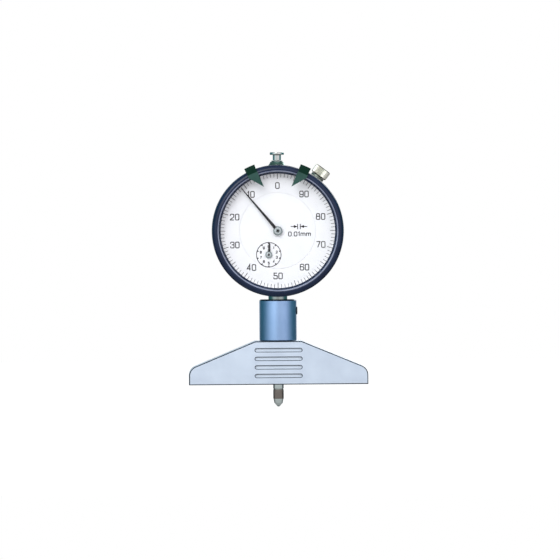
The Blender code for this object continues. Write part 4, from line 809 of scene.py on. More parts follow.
def build_base():
    outline = base_outline()
    rim = inset(outline, BASE_EDGE)
    layers = [
        (rim, -BASE_HALF_DEPTH),
        (outline, BASE_EDGE - BASE_HALF_DEPTH),
        (outline, BASE_HALF_DEPTH - BASE_EDGE),
        (rim, BASE_HALF_DEPTH),
    ]
    # The chamfer bands take the painted shade
    block = stack("base_body", layers, FACE_ON, [BASE_STEEL, BASE_RIM_SHADE, BASE_FLOOR_LIGHT], [1, 0, 1])
    bore = (
        (0, BASE_HEIGHT + PAST),
        (SPIGOT_RADIUS + FIT, BASE_HEIGHT + PAST),
        (SPIGOT_RADIUS + FIT, SPIGOT_LOW - FIT),
        (BORE_RADIUS, SPIGOT_LOW - FIT),
        (BORE_RADIUS, BORE_CHAMFER),
        (BORE_RADIUS + BORE_CHAMFER, 0),
        (BORE_RADIUS + BORE_CHAMFER, -PAST),
        (0, -PAST),
    )
    cutters = [lathe("base_bore", bore, GAUGE, [BASE_STEEL])]
    mouth = stadium(GROOVE_REACH, GROOVE_RADIUS)
    neck = stadium(GROOVE_REACH, GROOVE_RADIUS - GROOVE_MOUTH)
    floor = stadium(GROOVE_REACH, GROOVE_RADIUS - GROOVE_MOUTH - GROOVE_FLOOR_INSET)
    layers = [
        (floor, BASE_HALF_DEPTH - GROOVE_DEPTH),
        (neck, BASE_HALF_DEPTH - GROOVE_DEPTH + GROOVE_FLOOR_RISE),
        (neck, BASE_HALF_DEPTH - GROOVE_MOUTH),
        (mouth, BASE_HALF_DEPTH),
        (mouth, BASE_HALF_DEPTH + PAST),
    ]
    for index in range(GROOVE_COUNT):
        height = BASE_HEIGHT - GROOVE_TOP_DISTANCE - index * GROOVE_PITCH
        for turn in (0, math.pi):
            place = FACE_ON @ Matrix.Translation((0, height, 0)) @ Matrix.Rotation(turn, 4, "Y")
            # Each groove's floor takes the painted light and its walls the painted shade
            cutters.append(stack("groove_cutter", layers, place, [BASE_FLOOR_LIGHT, BASE_RIM_SHADE], [0, 1, 1, 1]))
    settle(cut(block, *cutters), "gauge_body", "base_steel", "base_block")


def slotted_head(name, radius, low, high, place, finish, width=SLOT_WIDTH, depth=SLOT_DEPTH):
    """A screw's cylinder with rounded rims and a driver slot."""
    head = ring(name, 0, radius, low, high, place, finish, FULL, HAIR)
    reach = radius + PAST
    outline = [(-reach, -width / 2), (reach, -width / 2), (reach, width / 2), (-reach, width / 2)]
    slot = stack("slot_cutter", [(outline, high - depth), (outline, high + PAST)], place, [finish])
    return cut(head, slot)


def build_sleeve():
    corners = [
        (STEM_RADIUS + FIT, SLEEVE_TOP),
        (SLEEVE_RADIUS - SLEEVE_CHAMFER, SLEEVE_TOP, SOFT),
        (SLEEVE_RADIUS, SLEEVE_TOP - SLEEVE_CHAMFER, ROUND),
        (SLEEVE_RADIUS, SLEEVE_LOW + SLEEVE_FOOT_HEIGHT),
        (SLEEVE_RADIUS - SLEEVE_FOOT_INSET, SLEEVE_LOW),
        (SPIGOT_RADIUS, SLEEVE_LOW),
        (SPIGOT_RADIUS, SPIGOT_LOW),
        (SPIGOT_BORE, SPIGOT_LOW),
        (SPIGOT_BORE, STEM_LOW - FIT),
        (STEM_RADIUS + FIT, STEM_LOW - FIT),
    ]
    top_rim = SLEEVE_TOP - SLEEVE_CHAMFER - SOFT
    foot_rim = SLEEVE_LOW + SLEEVE_FOOT_INSET
    # The sleeve's top, chamfers and foot take the painted shade
    sleeve = lathe(
        "sleeve_shell",
        corners,
        GAUGE,
        [SLEEVE_BLUE, SLEEVE_RIM_SHADE],
        RING_SIDES,
        finish_of=lambda radius, height: int(radius > SPIGOT_RADIUS and not foot_rim < height < top_rim),
    )
    side = facing_right(CLAMP_SCREW_HEIGHT)
    end = CLAMP_SCREW_OUT + PAST
    hole = rod("clamp_hole", CLAMP_SCREW_RADIUS + FIT, STEM_RADIUS - 2 * PAST, end, side, SLEEVE_BLUE)
    settle(cut(sleeve, hole), "gauge_body", "sleeve_blue", "base_sleeve")
    low = STEM_RADIUS + FIT
    upright = side @ Matrix.Rotation(math.pi / 2, 4, "Z")
    screw = slotted_head("sleeve_screw", CLAMP_SCREW_RADIUS, low, CLAMP_SCREW_OUT, upright, DARK_STEEL)
    settle(screw, "gauge_body", "dark_steel", "sleeve_clamp_screw")


def build_stem():
    sizes = (STEM_BORE, STEM_RADIUS, STEM_LOW, STEM_TOP)
    # The stem's steel is darkened as painted shade
    stem = ring("stem_tube", *sizes, GAUGE, SHADED_SHAFT_STEEL, sides=SHAFT_SIDES)
    settle(stem, "gauge_body", "steel", "indicator_stem")
    flange_low = DIAL_HEIGHT + BOSS_TOP + FIT
    flange_top = flange_low + BUSH_FLANGE
    corners = [
        (BUSH_BORE, flange_top),
        (BOSS_TOP_RADIUS - FIT, flange_top, BUSH_FLANGE_ROUND),
        (BOSS_TOP_RADIUS - FIT, flange_low, FINE),
        (BUSH_HOLE - FIT, flange_low),
        (BUSH_HOLE - FIT, flange_low - BUSH_LENGTH),
        (BUSH_BORE, flange_low - BUSH_LENGTH),
    ]
    bush = lathe("top_bush", corners, GAUGE, [SHADED_SHAFT_STEEL], SMALL_SIDES)
    settle(bush, "gauge_body", "steel", "upper_spindle_bush")


def build_case():
    corners = [
        (CASE_BORE, CASE_FRONT),
        (CASE_NECK, CASE_FRONT, SOFT),
        (CASE_NECK, CASE_SHOULDER),
        (CASE_RADIUS, CASE_SHOULDER, ROUND),
        (CASE_RADIUS, CASE_REAR, CASE_REAR_ROUND),
        (CASE_LEDGE, CASE_REAR),
        (CASE_LEDGE, LEDGE_FRONT),
        (CASE_BORE, LEDGE_FRONT),
    ]
    case = lathe("case_shell", corners, DIAL, [CASE_GREEN], RING_SIDES)
    top = DIAL_HEIGHT + BOSS_TOP
    corners = [
        (0, top),
        (BOSS_TOP_RADIUS + BOSS_RIM, top, SOFT),
        *[(BOSS_TOP_RADIUS + out, top - down) for out, down in BOSS_FLANK],
        (BOSS_RADIUS - BOSS_SLOPE, DIAL_HEIGHT + BOSS_SHOULDER + BOSS_SLOPE),
        (BOSS_RADIUS, DIAL_HEIGHT + BOSS_SHOULDER),
        (BOSS_RADIUS, DIAL_HEIGHT + BOSS_ROOT),
        (0, DIAL_HEIGHT + BOSS_ROOT),
    ]
    combine(case, [lathe("top_boss", corners, GAUGE, [CASE_GREEN])], "UNION")
    stem_low = DIAL_HEIGHT - CASE_RADIUS - PAST
    stem_top = DIAL_HEIGHT - CASE_LEDGE + PAST
    cutters = [
        rod("bush_hole", BUSH_HOLE, DIAL_HEIGHT + CASE_LEDGE - PAST, top + PAST, GAUGE, CASE_GREEN),
        rod("stem_hole", STEM_RADIUS + FIT, stem_low, stem_top, GAUGE, CASE_GREEN),
        rod("stud_hole", STUD_BORE, CASE_LEDGE - PAST, CASE_RADIUS + PAST, CLAMP, CASE_GREEN),
    ]
    settle(cut(case, *cutters), "gauge_body", "case_green", "indicator_case")
    sizes = (STUD_BORE, COLLAR_RADIUS, COLLAR_START, COLLAR_END)
    collar = ring("knob_collar", *sizes, CLAMP, COLLAR_GREY, ROUND, SOFT, sides=SHAFT_SIDES)
    settle(collar, "gauge_body", "case_green", "clamp_collar")


def build_back_cover():
    corners = [
        (0, COVER_FRONT),
        (COVER_RADIUS, COVER_FRONT, FINE),
        (COVER_RADIUS, COVER_BACK, COVER_CHAMFER),
        (COVER_STEP, COVER_BACK, ROUND),
        *[(COVER_STEP - inwards, COVER_BACK + up, ROUND) for inwards, up in COVER_GROOVE],
        (COVER_DISH, COVER_BACK, SOFT),
        (COVER_DISH - COVER_DISH_SLOPE, COVER_BACK + COVER_DISH_DEPTH, SOFT),
        (0, COVER_BACK + COVER_DISH_DEPTH),
    ]
    cover = lathe("rear_cover", corners, DIAL, [COVER_NAVY], RING_SIDES)
    back = -COVER_BACK
    seat = (
        (0, back + PAST),
        (COVER_SCREW_RADIUS + COVER_SEAT_MOUTH, back + PAST),
        (COVER_SCREW_RADIUS + COVER_SEAT_MOUTH, back),
        (COVER_SCREW_RADIUS + FIT, back - COVER_SEAT_MOUTH + FIT),
        (COVER_SCREW_RADIUS + FIT, back - COVER_SEAT_DEPTH),
        (0, back - COVER_SEAT_DEPTH),
    )
    behind = DIAL @ Matrix.Rotation(math.pi, 4, "Y")
    places = []
    for index in range(COVER_SCREWS):
        angle = (index + 0.5) * math.tau / COVER_SCREWS
        x = COVER_SCREW_CIRCLE * math.cos(angle)
        y = COVER_SCREW_CIRCLE * math.sin(angle)
        places.append(behind @ Matrix.Translation((-x, y, 0)))
    cutters = [lathe("cover_seat", seat, place, [COVER_NAVY], SMALL_SIDES) for place in places]
    settle(cut(cover, *cutters), "gauge_body", "bezel_navy", "back_cover")
    for index, place in enumerate(places):
        turn = COVER_SLOT_TURN + COVER_SLOT_TURN_STEP * index
        head = slotted_head(
            f"cover_screw_{index + 1}",
            COVER_SCREW_RADIUS,
            back - COVER_SCREW_DEPTH,
            back - COVER_SCREW_SUNK,
            place @ Matrix.Rotation(turn, 4, "Z"),
            STEEL,
            COVER_SLOT_WIDTH,
            COVER_SLOT_DEPTH,
        )
        settle(head, "gauge_body", "steel", f"back_cover_screw_{index + 1}")


# The bezel and what turns with it


def build_bezel():
    slope_width = BEZEL_RADIUS - BEZEL_RIDGE - SLOPE_START
    slope_drop = RIDGE_FRONT - SLOPE_FOOT
    slope = []
    for step in range(SLOPE_STEPS + 1):
        share = step / SLOPE_STEPS
        curve = 1 - math.sqrt(max(0.0, 1 - share**SLOPE_POWER))
        drop = slope_drop * (SLOPE_EVEN * share + (1 - SLOPE_EVEN) * curve)
        slope.append((BEZEL_RIDGE + SLOPE_START + slope_width * share, RIDGE_FRONT - drop))
    bead_low = LIP_FRONT + LIP_RISE
    corners = [
        (VISIBLE_RADIUS, LIP_FRONT, HAIR),
        (BEAD_INNER, bead_low),
        (BEAD_INNER + BEAD_LEAN, RIDGE_FRONT - BEAD_INNER_DROP),
        (BEAD_OUTER, RIDGE_FRONT - BEAD_OUTER_DROP),
        *slope,
        (BEZEL_RADIUS, RIM_KNURL_HIGH + 2 * SOFT),
        (BEZEL_RADIUS - RIM_KNURL_DEPTH, RIM_KNURL_HIGH + RIM_KNURL_STEP),
        (BEZEL_RADIUS, RIM_KNURL_HIGH - SOFT),
        (BEZEL_RADIUS, RIM_KNURL_LOW + SOFT),
        (BEZEL_RADIUS - RIM_KNURL_DEPTH, RIM_KNURL_LOW - RIM_KNURL_STEP),
        (BEZEL_RADIUS - RIM_KNURL_DEPTH, RIM_GROOVE_FRONT),
        (RIM_GROOVE_RADIUS, RIM_GROOVE_FRONT),
        (RIM_GROOVE_RADIUS, RIM_GROOVE_BACK),
        (BEZEL_RADIUS, RIM_GROOVE_BACK, FINE),
        (BEZEL_RADIUS, BEZEL_BACK, FULL),
        (BEZEL_SKIRT, BEZEL_BACK),
        (BEZEL_SKIRT, SPRING_RING_BACK),
        (SPRING_RING_RADIUS, SPRING_RING_BACK),
        (SPRING_RING_RADIUS, SPRING_RING_FRONT),
        (BEZEL_SKIRT, SPRING_RING_FRONT),
        (BEZEL_SKIRT, DIAL_BACK - FIT),
        (BEZEL_SEAT, DIAL_BACK - FIT),
        (BEZEL_SEAT, LIP_BACK),
        (VISIBLE_RADIUS, LIP_BACK, HAIR),
    ]
    # The bead's front takes the painted highlight
    bezel = lathe(
        "bezel_ring",
        corners,
        DIAL,
        [BEZEL_NAVY, BEZEL_RIDGE_HIGHLIGHT],
        2 * RIM_KNURLS,
        (RIM_KNURL_LOW, RIM_KNURL_HIGH, RIM_KNURL_DEPTH, BEZEL_RADIUS - KNURL_SLACK),
        lambda radius, height: int(BEAD_INNER < radius < BEAD_OUTER and height > bead_low),
        steps=BEZEL_CORNER_STEPS,
    )
    settle(bezel, "bezel_unit", "bezel_navy", "bezel")
    sizes = (0, CRYSTAL_RADIUS, CRYSTAL_BACK, CRYSTAL_FRONT)
    glass = ring("crystal_glass", *sizes, DIAL, CRYSTAL_CLEAR, FULL, HAIR, sides=RING_SIDES)
    settle(glass, "bezel_unit", "crystal_clear", "crystal")
    sizes = (VISIBLE_RADIUS + FIT, CRYSTAL_RADIUS, CRYSTAL_FRONT + FIT, LIP_BACK - FIT)
    seal = ring("crystal_seal", *sizes, DIAL, GASKET, inside=FINE, sides=RING_SIDES)
    settle(seal, "bezel_unit", "gasket_black", "crystal_gasket")
    sizes = (VISIBLE_RADIUS + FIT, CRYSTAL_RADIUS, DIAL_FRONT + FIT, CRYSTAL_BACK - FIT)
    wall = ring("dial_surround", *sizes, DIAL, DIAL_WHITE, inside=SOFT, sides=RING_SIDES)
    settle(wall, "bezel_unit", "dial_white", "dial_spacer_ring")


# The dial and its print

# Each sign's width in digits and its strokes on a field one high: a third value rounds that corner
GLYPH_GAP = 0.14
GLYPH_STEPS = 4
GLYPHS = {
    "0": (1, [((0, 0, 0.3), (1, 0, 0.3), (1, 1, 0.3), (0, 1, 0.3), (0, 0, 0.3))]),
    "1": (0.45, [((0, 0.8), (0.32, 1), (0.32, 0))]),
    "2": (1, [((0, 0.74), (0, 1, 0.3), (1, 1, 0.3), (1, 0.52, 0.25), (0, 0.08), (0, 0), (1, 0))]),
    "3": (
        1,
        [
            ((0, 0.72), (0, 1, 0.3), (1, 1, 0.3), (1, 0.54, 0.25), (0.35, 0.54)),
            ((0.4, 0.54), (1, 0.54, 0.25), (1, 0, 0.3), (0, 0, 0.3), (0, 0.28)),
        ],
    ),
    "4": (1, [((0.74, 0), (0.74, 1), (0, 0.27), (1, 0.27))]),
    "5": (1, [((0.96, 1), (0.08, 1), (0.08, 0.58), (1, 0.58, 0.25), (1, 0, 0.25), (0, 0, 0.3), (0, 0.28))]),
    "6": (
        1,
        [
            ((0, 0, 0.3), (1, 0, 0.3), (1, 0.58, 0.3), (0, 0.58, 0.1), (0, 0, 0.3)),
            ((0, 0.5), (0, 1, 0.35), (1, 1, 0.3), (1, 0.72)),
        ],
    ),
    "7": (1, [((0, 1), (1, 1), (0.36, 0))]),
    "8": (
        1,
        [
            ((0, 0, 0.3), (1, 0, 0.3), (1, 0.54, 0.25), (0, 0.54, 0.25), (0, 0, 0.3)),
            ((0.06, 0.54, 0.25), (0.94, 0.54, 0.25), (0.94, 1, 0.3), (0.06, 1, 0.3), (0.06, 0.54, 0.25)),
        ],
    ),
    "9": (
        1,
        [
            ((0, 0.42, 0.3), (1, 0.42, 0.1), (1, 1, 0.3), (0, 1, 0.3), (0, 0.42, 0.3)),
            ((1, 0.5), (1, 0, 0.35), (0, 0, 0.3), (0, 0.28)),
        ],
    ),
    ".": (0.1, [((0, 0), (0.12, 0))]),
    "m": (
        1.5,
        [
            ((0, 0), (0, 0.72)),
            ((0, 0.5), (0, 0.72, 0.2), (0.75, 0.72, 0.25), (0.75, 0)),
            ((0.75, 0.5), (0.75, 0.72, 0.2), (1.5, 0.72, 0.25), (1.5, 0)),
        ],
    ),
}


def print_band(shape, sides, place, kind=0, closed=False):
    """Adds a thin closed coat between two edges that run side by side."""
    heights = (DIAL_FRONT + PRINT_GAP, DIAL_FRONT + PRINT)
    rows = []
    for pair in sides:
        points = [Vector((*point, height)) for height in heights for point in pair]
        rows.append([shape.verts.new(place @ point) for point in points])
    around = (0, 1, 3, 2)
    faces = []
    for one, two in zip(rows, rows[1:] + rows[:1] if closed else rows[1:]):
        for start, end in zip(around, around[1:] + around[:1]):
            faces.append(shape.faces.new((one[start], one[end], two[end], two[start])))
    if not closed:
        faces.append(shape.faces.new([rows[0][index] for index in around]))
        faces.append(shape.faces.new([rows[-1][index] for index in reversed(around)]))
    for face in faces:
        face.material_index = kind


def print_text(shape, text, middle, sizes, place, kind=0):
    """Adds plain lettering of these sizes: its height, the width of a digit and that of a stroke."""
    height, digit, weight = sizes
    tall = height - weight
    gap = GLYPH_GAP * digit + weight
    widths = [GLYPHS[letter][0] * (digit - weight) for letter in text]
    left = middle[0] - (sum(widths) + gap * (len(text) - 1)) / 2
    for letter, width in zip(text, widths):
        for path in GLYPHS[letter][1]:
            closed = path[0] == path[-1]
            corners = []
            for corner in path[:-1] if closed else path:
                x = left + corner[0] * (digit - weight)
                y = middle[1] + (corner[1] - 0.5) * tall
                corners.append((x, y, *[cut_back * (digit - weight) for cut_back in corner[2:]]))
            line = rounded(corners, GLYPH_STEPS, closed)
            print_band(shape, ribbon(line, weight, closed), place, kind, closed)
        left += width + gap


# Each kind of graduation: how many hundredths apart, from which radius outwards, and how wide
TICKS = 100
TICK_KINDS = ((10, 21.7, 0.28), (5, 21.9, 0.24), (1, 22.4, 0.2))
NUMERALS = 10
NUMERAL_RADIUS = 18.9
NUMERAL_SIZES = (2.8, 1.85, 0.39)


def build_ring_print():
    """The hundred graduations and their numbers, which rise anticlockwise."""
    shape = bmesh.new()
    for tick in range(TICKS):
        angle = tick * math.tau / TICKS
        inner, width = next(kind[1:] for kind in TICK_KINDS if tick % kind[0] == 0)
        line = [polar(inner, angle), polar(VISIBLE_RADIUS + PAST, angle)]
        print_band(shape, ribbon(line, width), DIAL, 1)
    for index in range(NUMERALS):
        middle = polar(NUMERAL_RADIUS, index * math.tau / NUMERALS)
        print_text(shape, str(TICKS // NUMERALS * index), middle, NUMERAL_SIZES, DIAL)
    settle(as_object("ring_print", shape, [RING_PRINT, TICK_PRINT]), "bezel_unit", "hand_black")


# The counter's dial
COUNTER_RING = 5.12
COUNTER_RING_WIDTH = 0.3
COUNTER_MARK = (4.5, 5.3)
COUNTER_MARK_WIDTH = 0.5
COUNTER_NUMERAL_RADIUS = 3.5
COUNTER_NUMERAL_SIZES = (1.2, 0.85, 0.27)

# The unit, and the two arrows over it that point at each other across two bars
UNIT_MIDDLE = (9.1, -1.4)
UNIT_SIZES = (2.05, 1.5, 0.36)
ARROWS_MIDDLE = (8.9, 1.72)
ARROW_BAR = 0.56
ARROW_BAR_REACH = 1.1
ARROW_BAR_WIDTH = 0.34
ARROW_GAP = 0.2
ARROW_POINT = 0.02
ARROW_HEAD_LENGTH = 1.35
ARROW_HEAD = 0.68
ARROW_END = 3.45
ARROW_LINE_WIDTH = 0.32


def build_inner_print():
    """The counter's dial, the unit and the arrows over it, on the disc that doesn't turn."""
    shape = bmesh.new()
    circle = [polar(COUNTER_RING, index * math.tau / SHAFT_SIDES) for index in range(SHAFT_SIDES)]
    print_band(shape, ribbon(circle, COUNTER_RING_WIDTH, closed=True), COUNTER, 1, closed=True)
    for index in range(NUMERALS):
        angle = -index * math.tau / NUMERALS
        mark = [polar(radius, angle) for radius in COUNTER_MARK]
        print_band(shape, ribbon(mark, COUNTER_MARK_WIDTH), COUNTER, 1)
        middle = polar(COUNTER_NUMERAL_RADIUS, angle)
        print_text(shape, str(index), middle, COUNTER_NUMERAL_SIZES, COUNTER, 1)
    print_text(shape, "0.01mm", UNIT_MIDDLE, UNIT_SIZES, DIAL)
    across, up = ARROWS_MIDDLE
    for side in (-1, 1):
        bar = across + side * ARROW_BAR
        head = bar + side * ARROW_GAP
        tail = head + side * ARROW_HEAD_LENGTH
        upright = [(bar, up - ARROW_BAR_REACH), (bar, up + ARROW_BAR_REACH)]
        line = [(head, up), (across + side * ARROW_END, up)]
        ends = ((head, ARROW_POINT), (tail, ARROW_HEAD))
        point = [((x, up - half), (x, up + half)) for x, half in ends]
        for sides in (ribbon(upright, ARROW_BAR_WIDTH), ribbon(line, ARROW_LINE_WIDTH), point):
            print_band(shape, sides, DIAL, 1)
    settle(as_object("inner_print", shape, [RING_PRINT, BROWN_PRINT]), "gauge_body", "hand_black")


def build_dial():
    sizes = (DISC_BORE, INNER_DIAL_RADIUS, DIAL_BACK, DIAL_FRONT)
    disc = ring("dial_disc", *sizes, DIAL, DIAL_WHITE, DISC_ROUND, sides=RING_SIDES)
    hole = rod("counter_hole", DISC_BORE, DIAL_BACK - PAST, DIAL_FRONT + PAST, COUNTER, DIAL_WHITE)
    settle(cut(disc, hole), "gauge_body", "dial_white", "inner_dial")
    corners = [
        (RING_INNER_RADIUS, DIAL_FRONT, DISC_ROUND),
        (RING_INNER_RADIUS, DIAL_FRONT - RING_STEP),
        (INNER_DIAL_RADIUS + RING_LAP, DIAL_FRONT - RING_STEP),
        (INNER_DIAL_RADIUS + RING_LAP, DIAL_BACK),
        (CRYSTAL_RADIUS, DIAL_BACK),
        (CRYSTAL_RADIUS, DIAL_FRONT),
    ]
    graduated = lathe("graduated_ring", corners, DIAL, [DIAL_WHITE], RING_SIDES)
    settle(graduated, "bezel_unit", "dial_white", "dial_ring")
    build_ring_print()
    build_inner_print()


# The hands


def needle(name, widths, reach, low, high, place):
    """A tapered hand from its root to its tip."""
    right = [(width / 2, end) for width, end in zip(widths, reach)]
    outline = right + [(-x, end) for x, end in reversed(right)]
    return bevelled_plate(name, outline, low, high, place, HAND_BLACK, NEEDLE_EDGE)


def add_to_hub(name, sizes, front, place, finish, body, slot):
    """A ring or pivot on a hand's hub, whose rims are softened."""
    inner, outer, low, high = sizes
    rims = (HAIR, HAIR) if inner else (PIVOT_ROUND, 0)
    settle(ring(name, inner, outer, front + low, front + high, place, finish, *rims), body, slot)


def build_pointer():
    turned = DIAL @ Matrix.Rotation(POINTER_ANGLE, 4, "Z")
    pointer = needle("pointer_needle", POINTER_WIDTHS, POINTER_REACH, POINTER_BACK, POINTER_FRONT, turned)
    settle(pointer, "pointer_unit", "hand_black", "pointer")
    place = (POINTER_FRONT, DIAL)
    add_to_hub("pointer_hub", POINTER_HUB, *place, HUB_GREY, "pointer_unit", "hand_black")
    corners = [
        (POINTER_BORE, POINTER_FRONT + POINTER_CAP_RISE),
        (POINTER_CAP_RADIUS, POINTER_FRONT + POINTER_CAP_RISE, SOFT),
        (POINTER_CAP_RADIUS, POINTER_FRONT),
        (POINTER_CAP_NECK, POINTER_BACK - HAIR),
        (POINTER_CAP_NECK, COUNTER_HAND_FRONT),
        (POINTER_BORE, COUNTER_HAND_FRONT),
    ]
    cap = lathe("pointer_cap", corners, DIAL, [CAP_GREY], SMALL_SIDES)
    settle(cap, "pointer_unit", "steel", "pointer_boss")
    add_to_hub("pointer_collet", POINTER_COLLET, *place, HUB_GREY, "pointer_unit", "steel")
    add_to_hub("pointer_pivot", POINTER_PIVOT, *place, HAND_BLACK, "pointer_unit", "dark_steel")


def build_counter_hand():
    turned = COUNTER @ Matrix.Rotation(COUNTER_ANGLE, 4, "Z")
    depths = (COUNTER_HAND_BACK, COUNTER_HAND_FRONT)
    hand = needle("counter_needle", COUNTER_HAND_WIDTHS, COUNTER_HAND_REACH, *depths, turned)
    settle(hand, "counter_unit", "hand_black", "counter_hand")
    place = (COUNTER_HAND_FRONT, COUNTER)
    add_to_hub("counter_hub", COUNTER_HUB, *place, HUB_GREY, "counter_unit", "hand_black")
    add_to_hub("counter_cap", COUNTER_CAP, *place, CAP_GREY, "counter_unit", "steel")
    add_to_hub("counter_pivot", COUNTER_PIVOT, *place, HAND_BLACK, "counter_unit", "dark_steel")


# The limit hands


def build_limit_hands():
    reach = math.asin(LIMIT_WIDTH / 2 / LIMIT_WALL_INNER)
    tab_back = FRONT_REACH - LIMIT_TAB_DEPTH
    section = [
        (RIM_GROOVE_RADIUS + FIT, RIM_GROOVE_BACK + FIT),
        (RIM_GROOVE_RADIUS + FIT, RIM_GROOVE_FRONT - FIT),
        (LIMIT_WALL_INNER, RIM_GROOVE_FRONT - FIT),
        (LIMIT_WALL_INNER, LIMIT_PLATE_BACK),
        (LIMIT_TAB_INNER, LIMIT_PLATE_BACK),
        (LIMIT_TAB_INNER, FRONT_REACH, SOFT),
        (LIMIT_TAB_OUTER, FRONT_REACH, BROAD),
        (LIMIT_TAB_OUTER, tab_back, FULL),
        (LIMIT_WALL_OUTER, tab_back, SOFT),
        (LIMIT_WALL_OUTER, RIM_GROOVE_BACK + FIT, FULL),
    ]
    depths = (LIMIT_PLATE_BACK, LIMIT_PLATE_FRONT)
    for side, word in ((-1, "left"), (1, "right")):
        middle = math.pi / 2 - side * LIMIT_ANGLE
        clip = lathe(
            f"limit_clip_{word}",
            section,
            DIAL,
            [TAB_GREEN],
            LIMIT_SIDES,
            sweep=(middle - reach, middle + reach),
            steps=LIMIT_CORNER_STEPS,
        )
        settle(clip, f"{word}_limit", "tab_green", f"limit_hand_{word}")
        turned = DIAL @ Matrix.Rotation(-side * LIMIT_ANGLE, 4, "Z")
        half = LIMIT_WIDTH / 2 * side
        outline = [
            (-half, LIMIT_TAB_INNER + LIMIT_LAP),
            (-half, LIMIT_TIP_RADIUS),
            (half, LIMIT_ARROW_RADIUS),
            (half, LIMIT_TAB_INNER + LIMIT_LAP),
        ]
        if side < 0:
            outline.reverse()
        arrow = bevelled_plate(f"limit_arrow_{word}", outline, *depths, turned, ARROW_GREEN, HAIR)
        settle(arrow, f"{word}_limit", "tab_green")


# The clamp knob, the cap and the contact point


def build_knob():
    corners = [
        (0, KNOB_END),
        (KNOB_RADIUS - KNOB_CHAMFER, KNOB_END, ROUND),
        (KNOB_RADIUS, KNOB_END - KNOB_CHAMFER_HEIGHT),
        (KNOB_RADIUS, KNOB_START + KNOB_CHAMFER_HEIGHT),
        (KNOB_RADIUS - KNOB_CHAMFER, KNOB_START, SOFT),
        (STUD_BORE, KNOB_START),
        (STUD_BORE, KNOB_END - KNOB_WALL),
        (0, KNOB_END - KNOB_WALL),
    ]
    ends = (KNOB_START + KNOB_KNURL_MARGIN, KNOB_END - KNOB_KNURL_MARGIN)
    low_edge = KNOB_START + KNOB_EDGE_HEIGHT
    high_edge = KNOB_END - KNOB_EDGE_HEIGHT
    # The chamfered ends take the painted shade
    knob = lathe(
        "knurled_knob",
        corners,
        CLAMP,
        [KNOB_SILVER, KNOB_EDGE_SHADE],
        2 * KNOB_TEETH,
        (*ends, KNOB_KNURL_DEPTH, KNOB_RADIUS - KNURL_SLACK),
        lambda _, height: int(not low_edge < height < high_edge),
    )
    settle(knob, "bezel_clamp", "knob_silver", "bezel_clamp_knob")


def build_shoe():
    """The small plate that the clamp presses on, with rounded corners and a hole for the stud."""
    corners = [
        (SHOE_BACK, -SHOE_HALF_WIDTH, SHOE_CORNER),
        (SHOE_HALF_WIDTH, -SHOE_HALF_WIDTH, SHOE_CORNER),
        (SHOE_HALF_WIDTH, SHOE_HALF_WIDTH, SHOE_CORNER),
        (SHOE_BACK, SHOE_HALF_WIDTH, SHOE_CORNER),
    ]
    shoe = bevelled_plate("clamp_plate", rounded(corners), SHOE_LOW, SHOE_HIGH, CLAMP, COLLAR_GREY, SOFT)
    hole = rod("shoe_hole", STUD_BORE, SHOE_LOW - PAST, SHOE_HIGH + PAST, CLAMP, COLLAR_GREY)
    settle(cut(shoe, hole), "gauge_body", "steel", "clamp_shoe")


def rack_cutter():
    """A comb that leaves the rack's teeth on the spindle's left."""
    outside = SPINDLE_RADIUS + PAST
    outline = [(-outside, (RACK_GAPS_ABOVE + 0.5) * RACK_PITCH)]
    for gap in range(RACK_GAPS_ABOVE, -RACK_GAPS_BELOW - 1, -1):
        middle = gap * RACK_PITCH
        outline += [(-RACK_TIP, middle + RACK_MOUTH), (-RACK_ROOT, middle + RACK_FLOOR)]
        outline += [(-RACK_ROOT, middle - RACK_FLOOR), (-RACK_TIP, middle - RACK_MOUTH)]
    outline.append((-outside, -(RACK_GAPS_BELOW + 0.5) * RACK_PITCH))
    outline.reverse()
    place = FACE_ON @ Matrix.Translation((0, RACK_MIDDLE, 0))
    return stack("rack_cutter", [(outline, -outside), (outline, outside)], place, [SHADED_SHAFT_STEEL])


def build_spindle():
    corners = [
        (0, SPINDLE_TOP),
        (CAP_STUD_RADIUS, SPINDLE_TOP, SOFT),
        (CAP_STUD_RADIUS, SPINDLE_SHOULDER),
        (SPINDLE_TOP_RADIUS, SPINDLE_SHOULDER, ROUND),
        (SPINDLE_TOP_RADIUS, SPINDLE_STEP),
        (SPINDLE_RADIUS, SPINDLE_STEP - SPINDLE_RADIUS + SPINDLE_TOP_RADIUS),
        (SPINDLE_RADIUS, SPINDLE_LOW, BROAD),
        (CONTACT_SOCKET_RADIUS, SPINDLE_LOW),
        (CONTACT_SOCKET_RADIUS, CONTACT_SOCKET_TOP),
        (0, CONTACT_SOCKET_TOP),
    ]
    spindle = lathe("racked_spindle", corners, GAUGE, [SHADED_SHAFT_STEEL])
    place = facing_right(GUIDE_HEIGHT)
    end = SPINDLE_RADIUS + PAST
    hole = rod("guide_hole", GUIDE_HOLE_RADIUS, GUIDE_HOLE_START, end, place, SHADED_SHAFT_STEEL)
    settle(cut(spindle, rack_cutter(), hole), "spindle_unit", "steel", "spindle")


def build_cap():
    corners = [
        (0, CAP_TOP),
        (CAP_FLANGE, CAP_TOP, BROAD),
        (CAP_FLANGE, CAP_FLANGE_LOW, BROAD),
        (CAP_NECK, CAP_FLANGE_LOW, CAP_FILLET),
        (CAP_NECK, CAP_LOW, SOFT),
        (CAP_STUD_RADIUS + FIT, CAP_LOW),
        (CAP_STUD_RADIUS + FIT, CAP_FLANGE_LOW),
        (0, CAP_FLANGE_LOW),
    ]
    settle(lathe("chrome_cap", corners, GAUGE, [CHROME]), "spindle_unit", "cap_chrome", "lifting_cap")


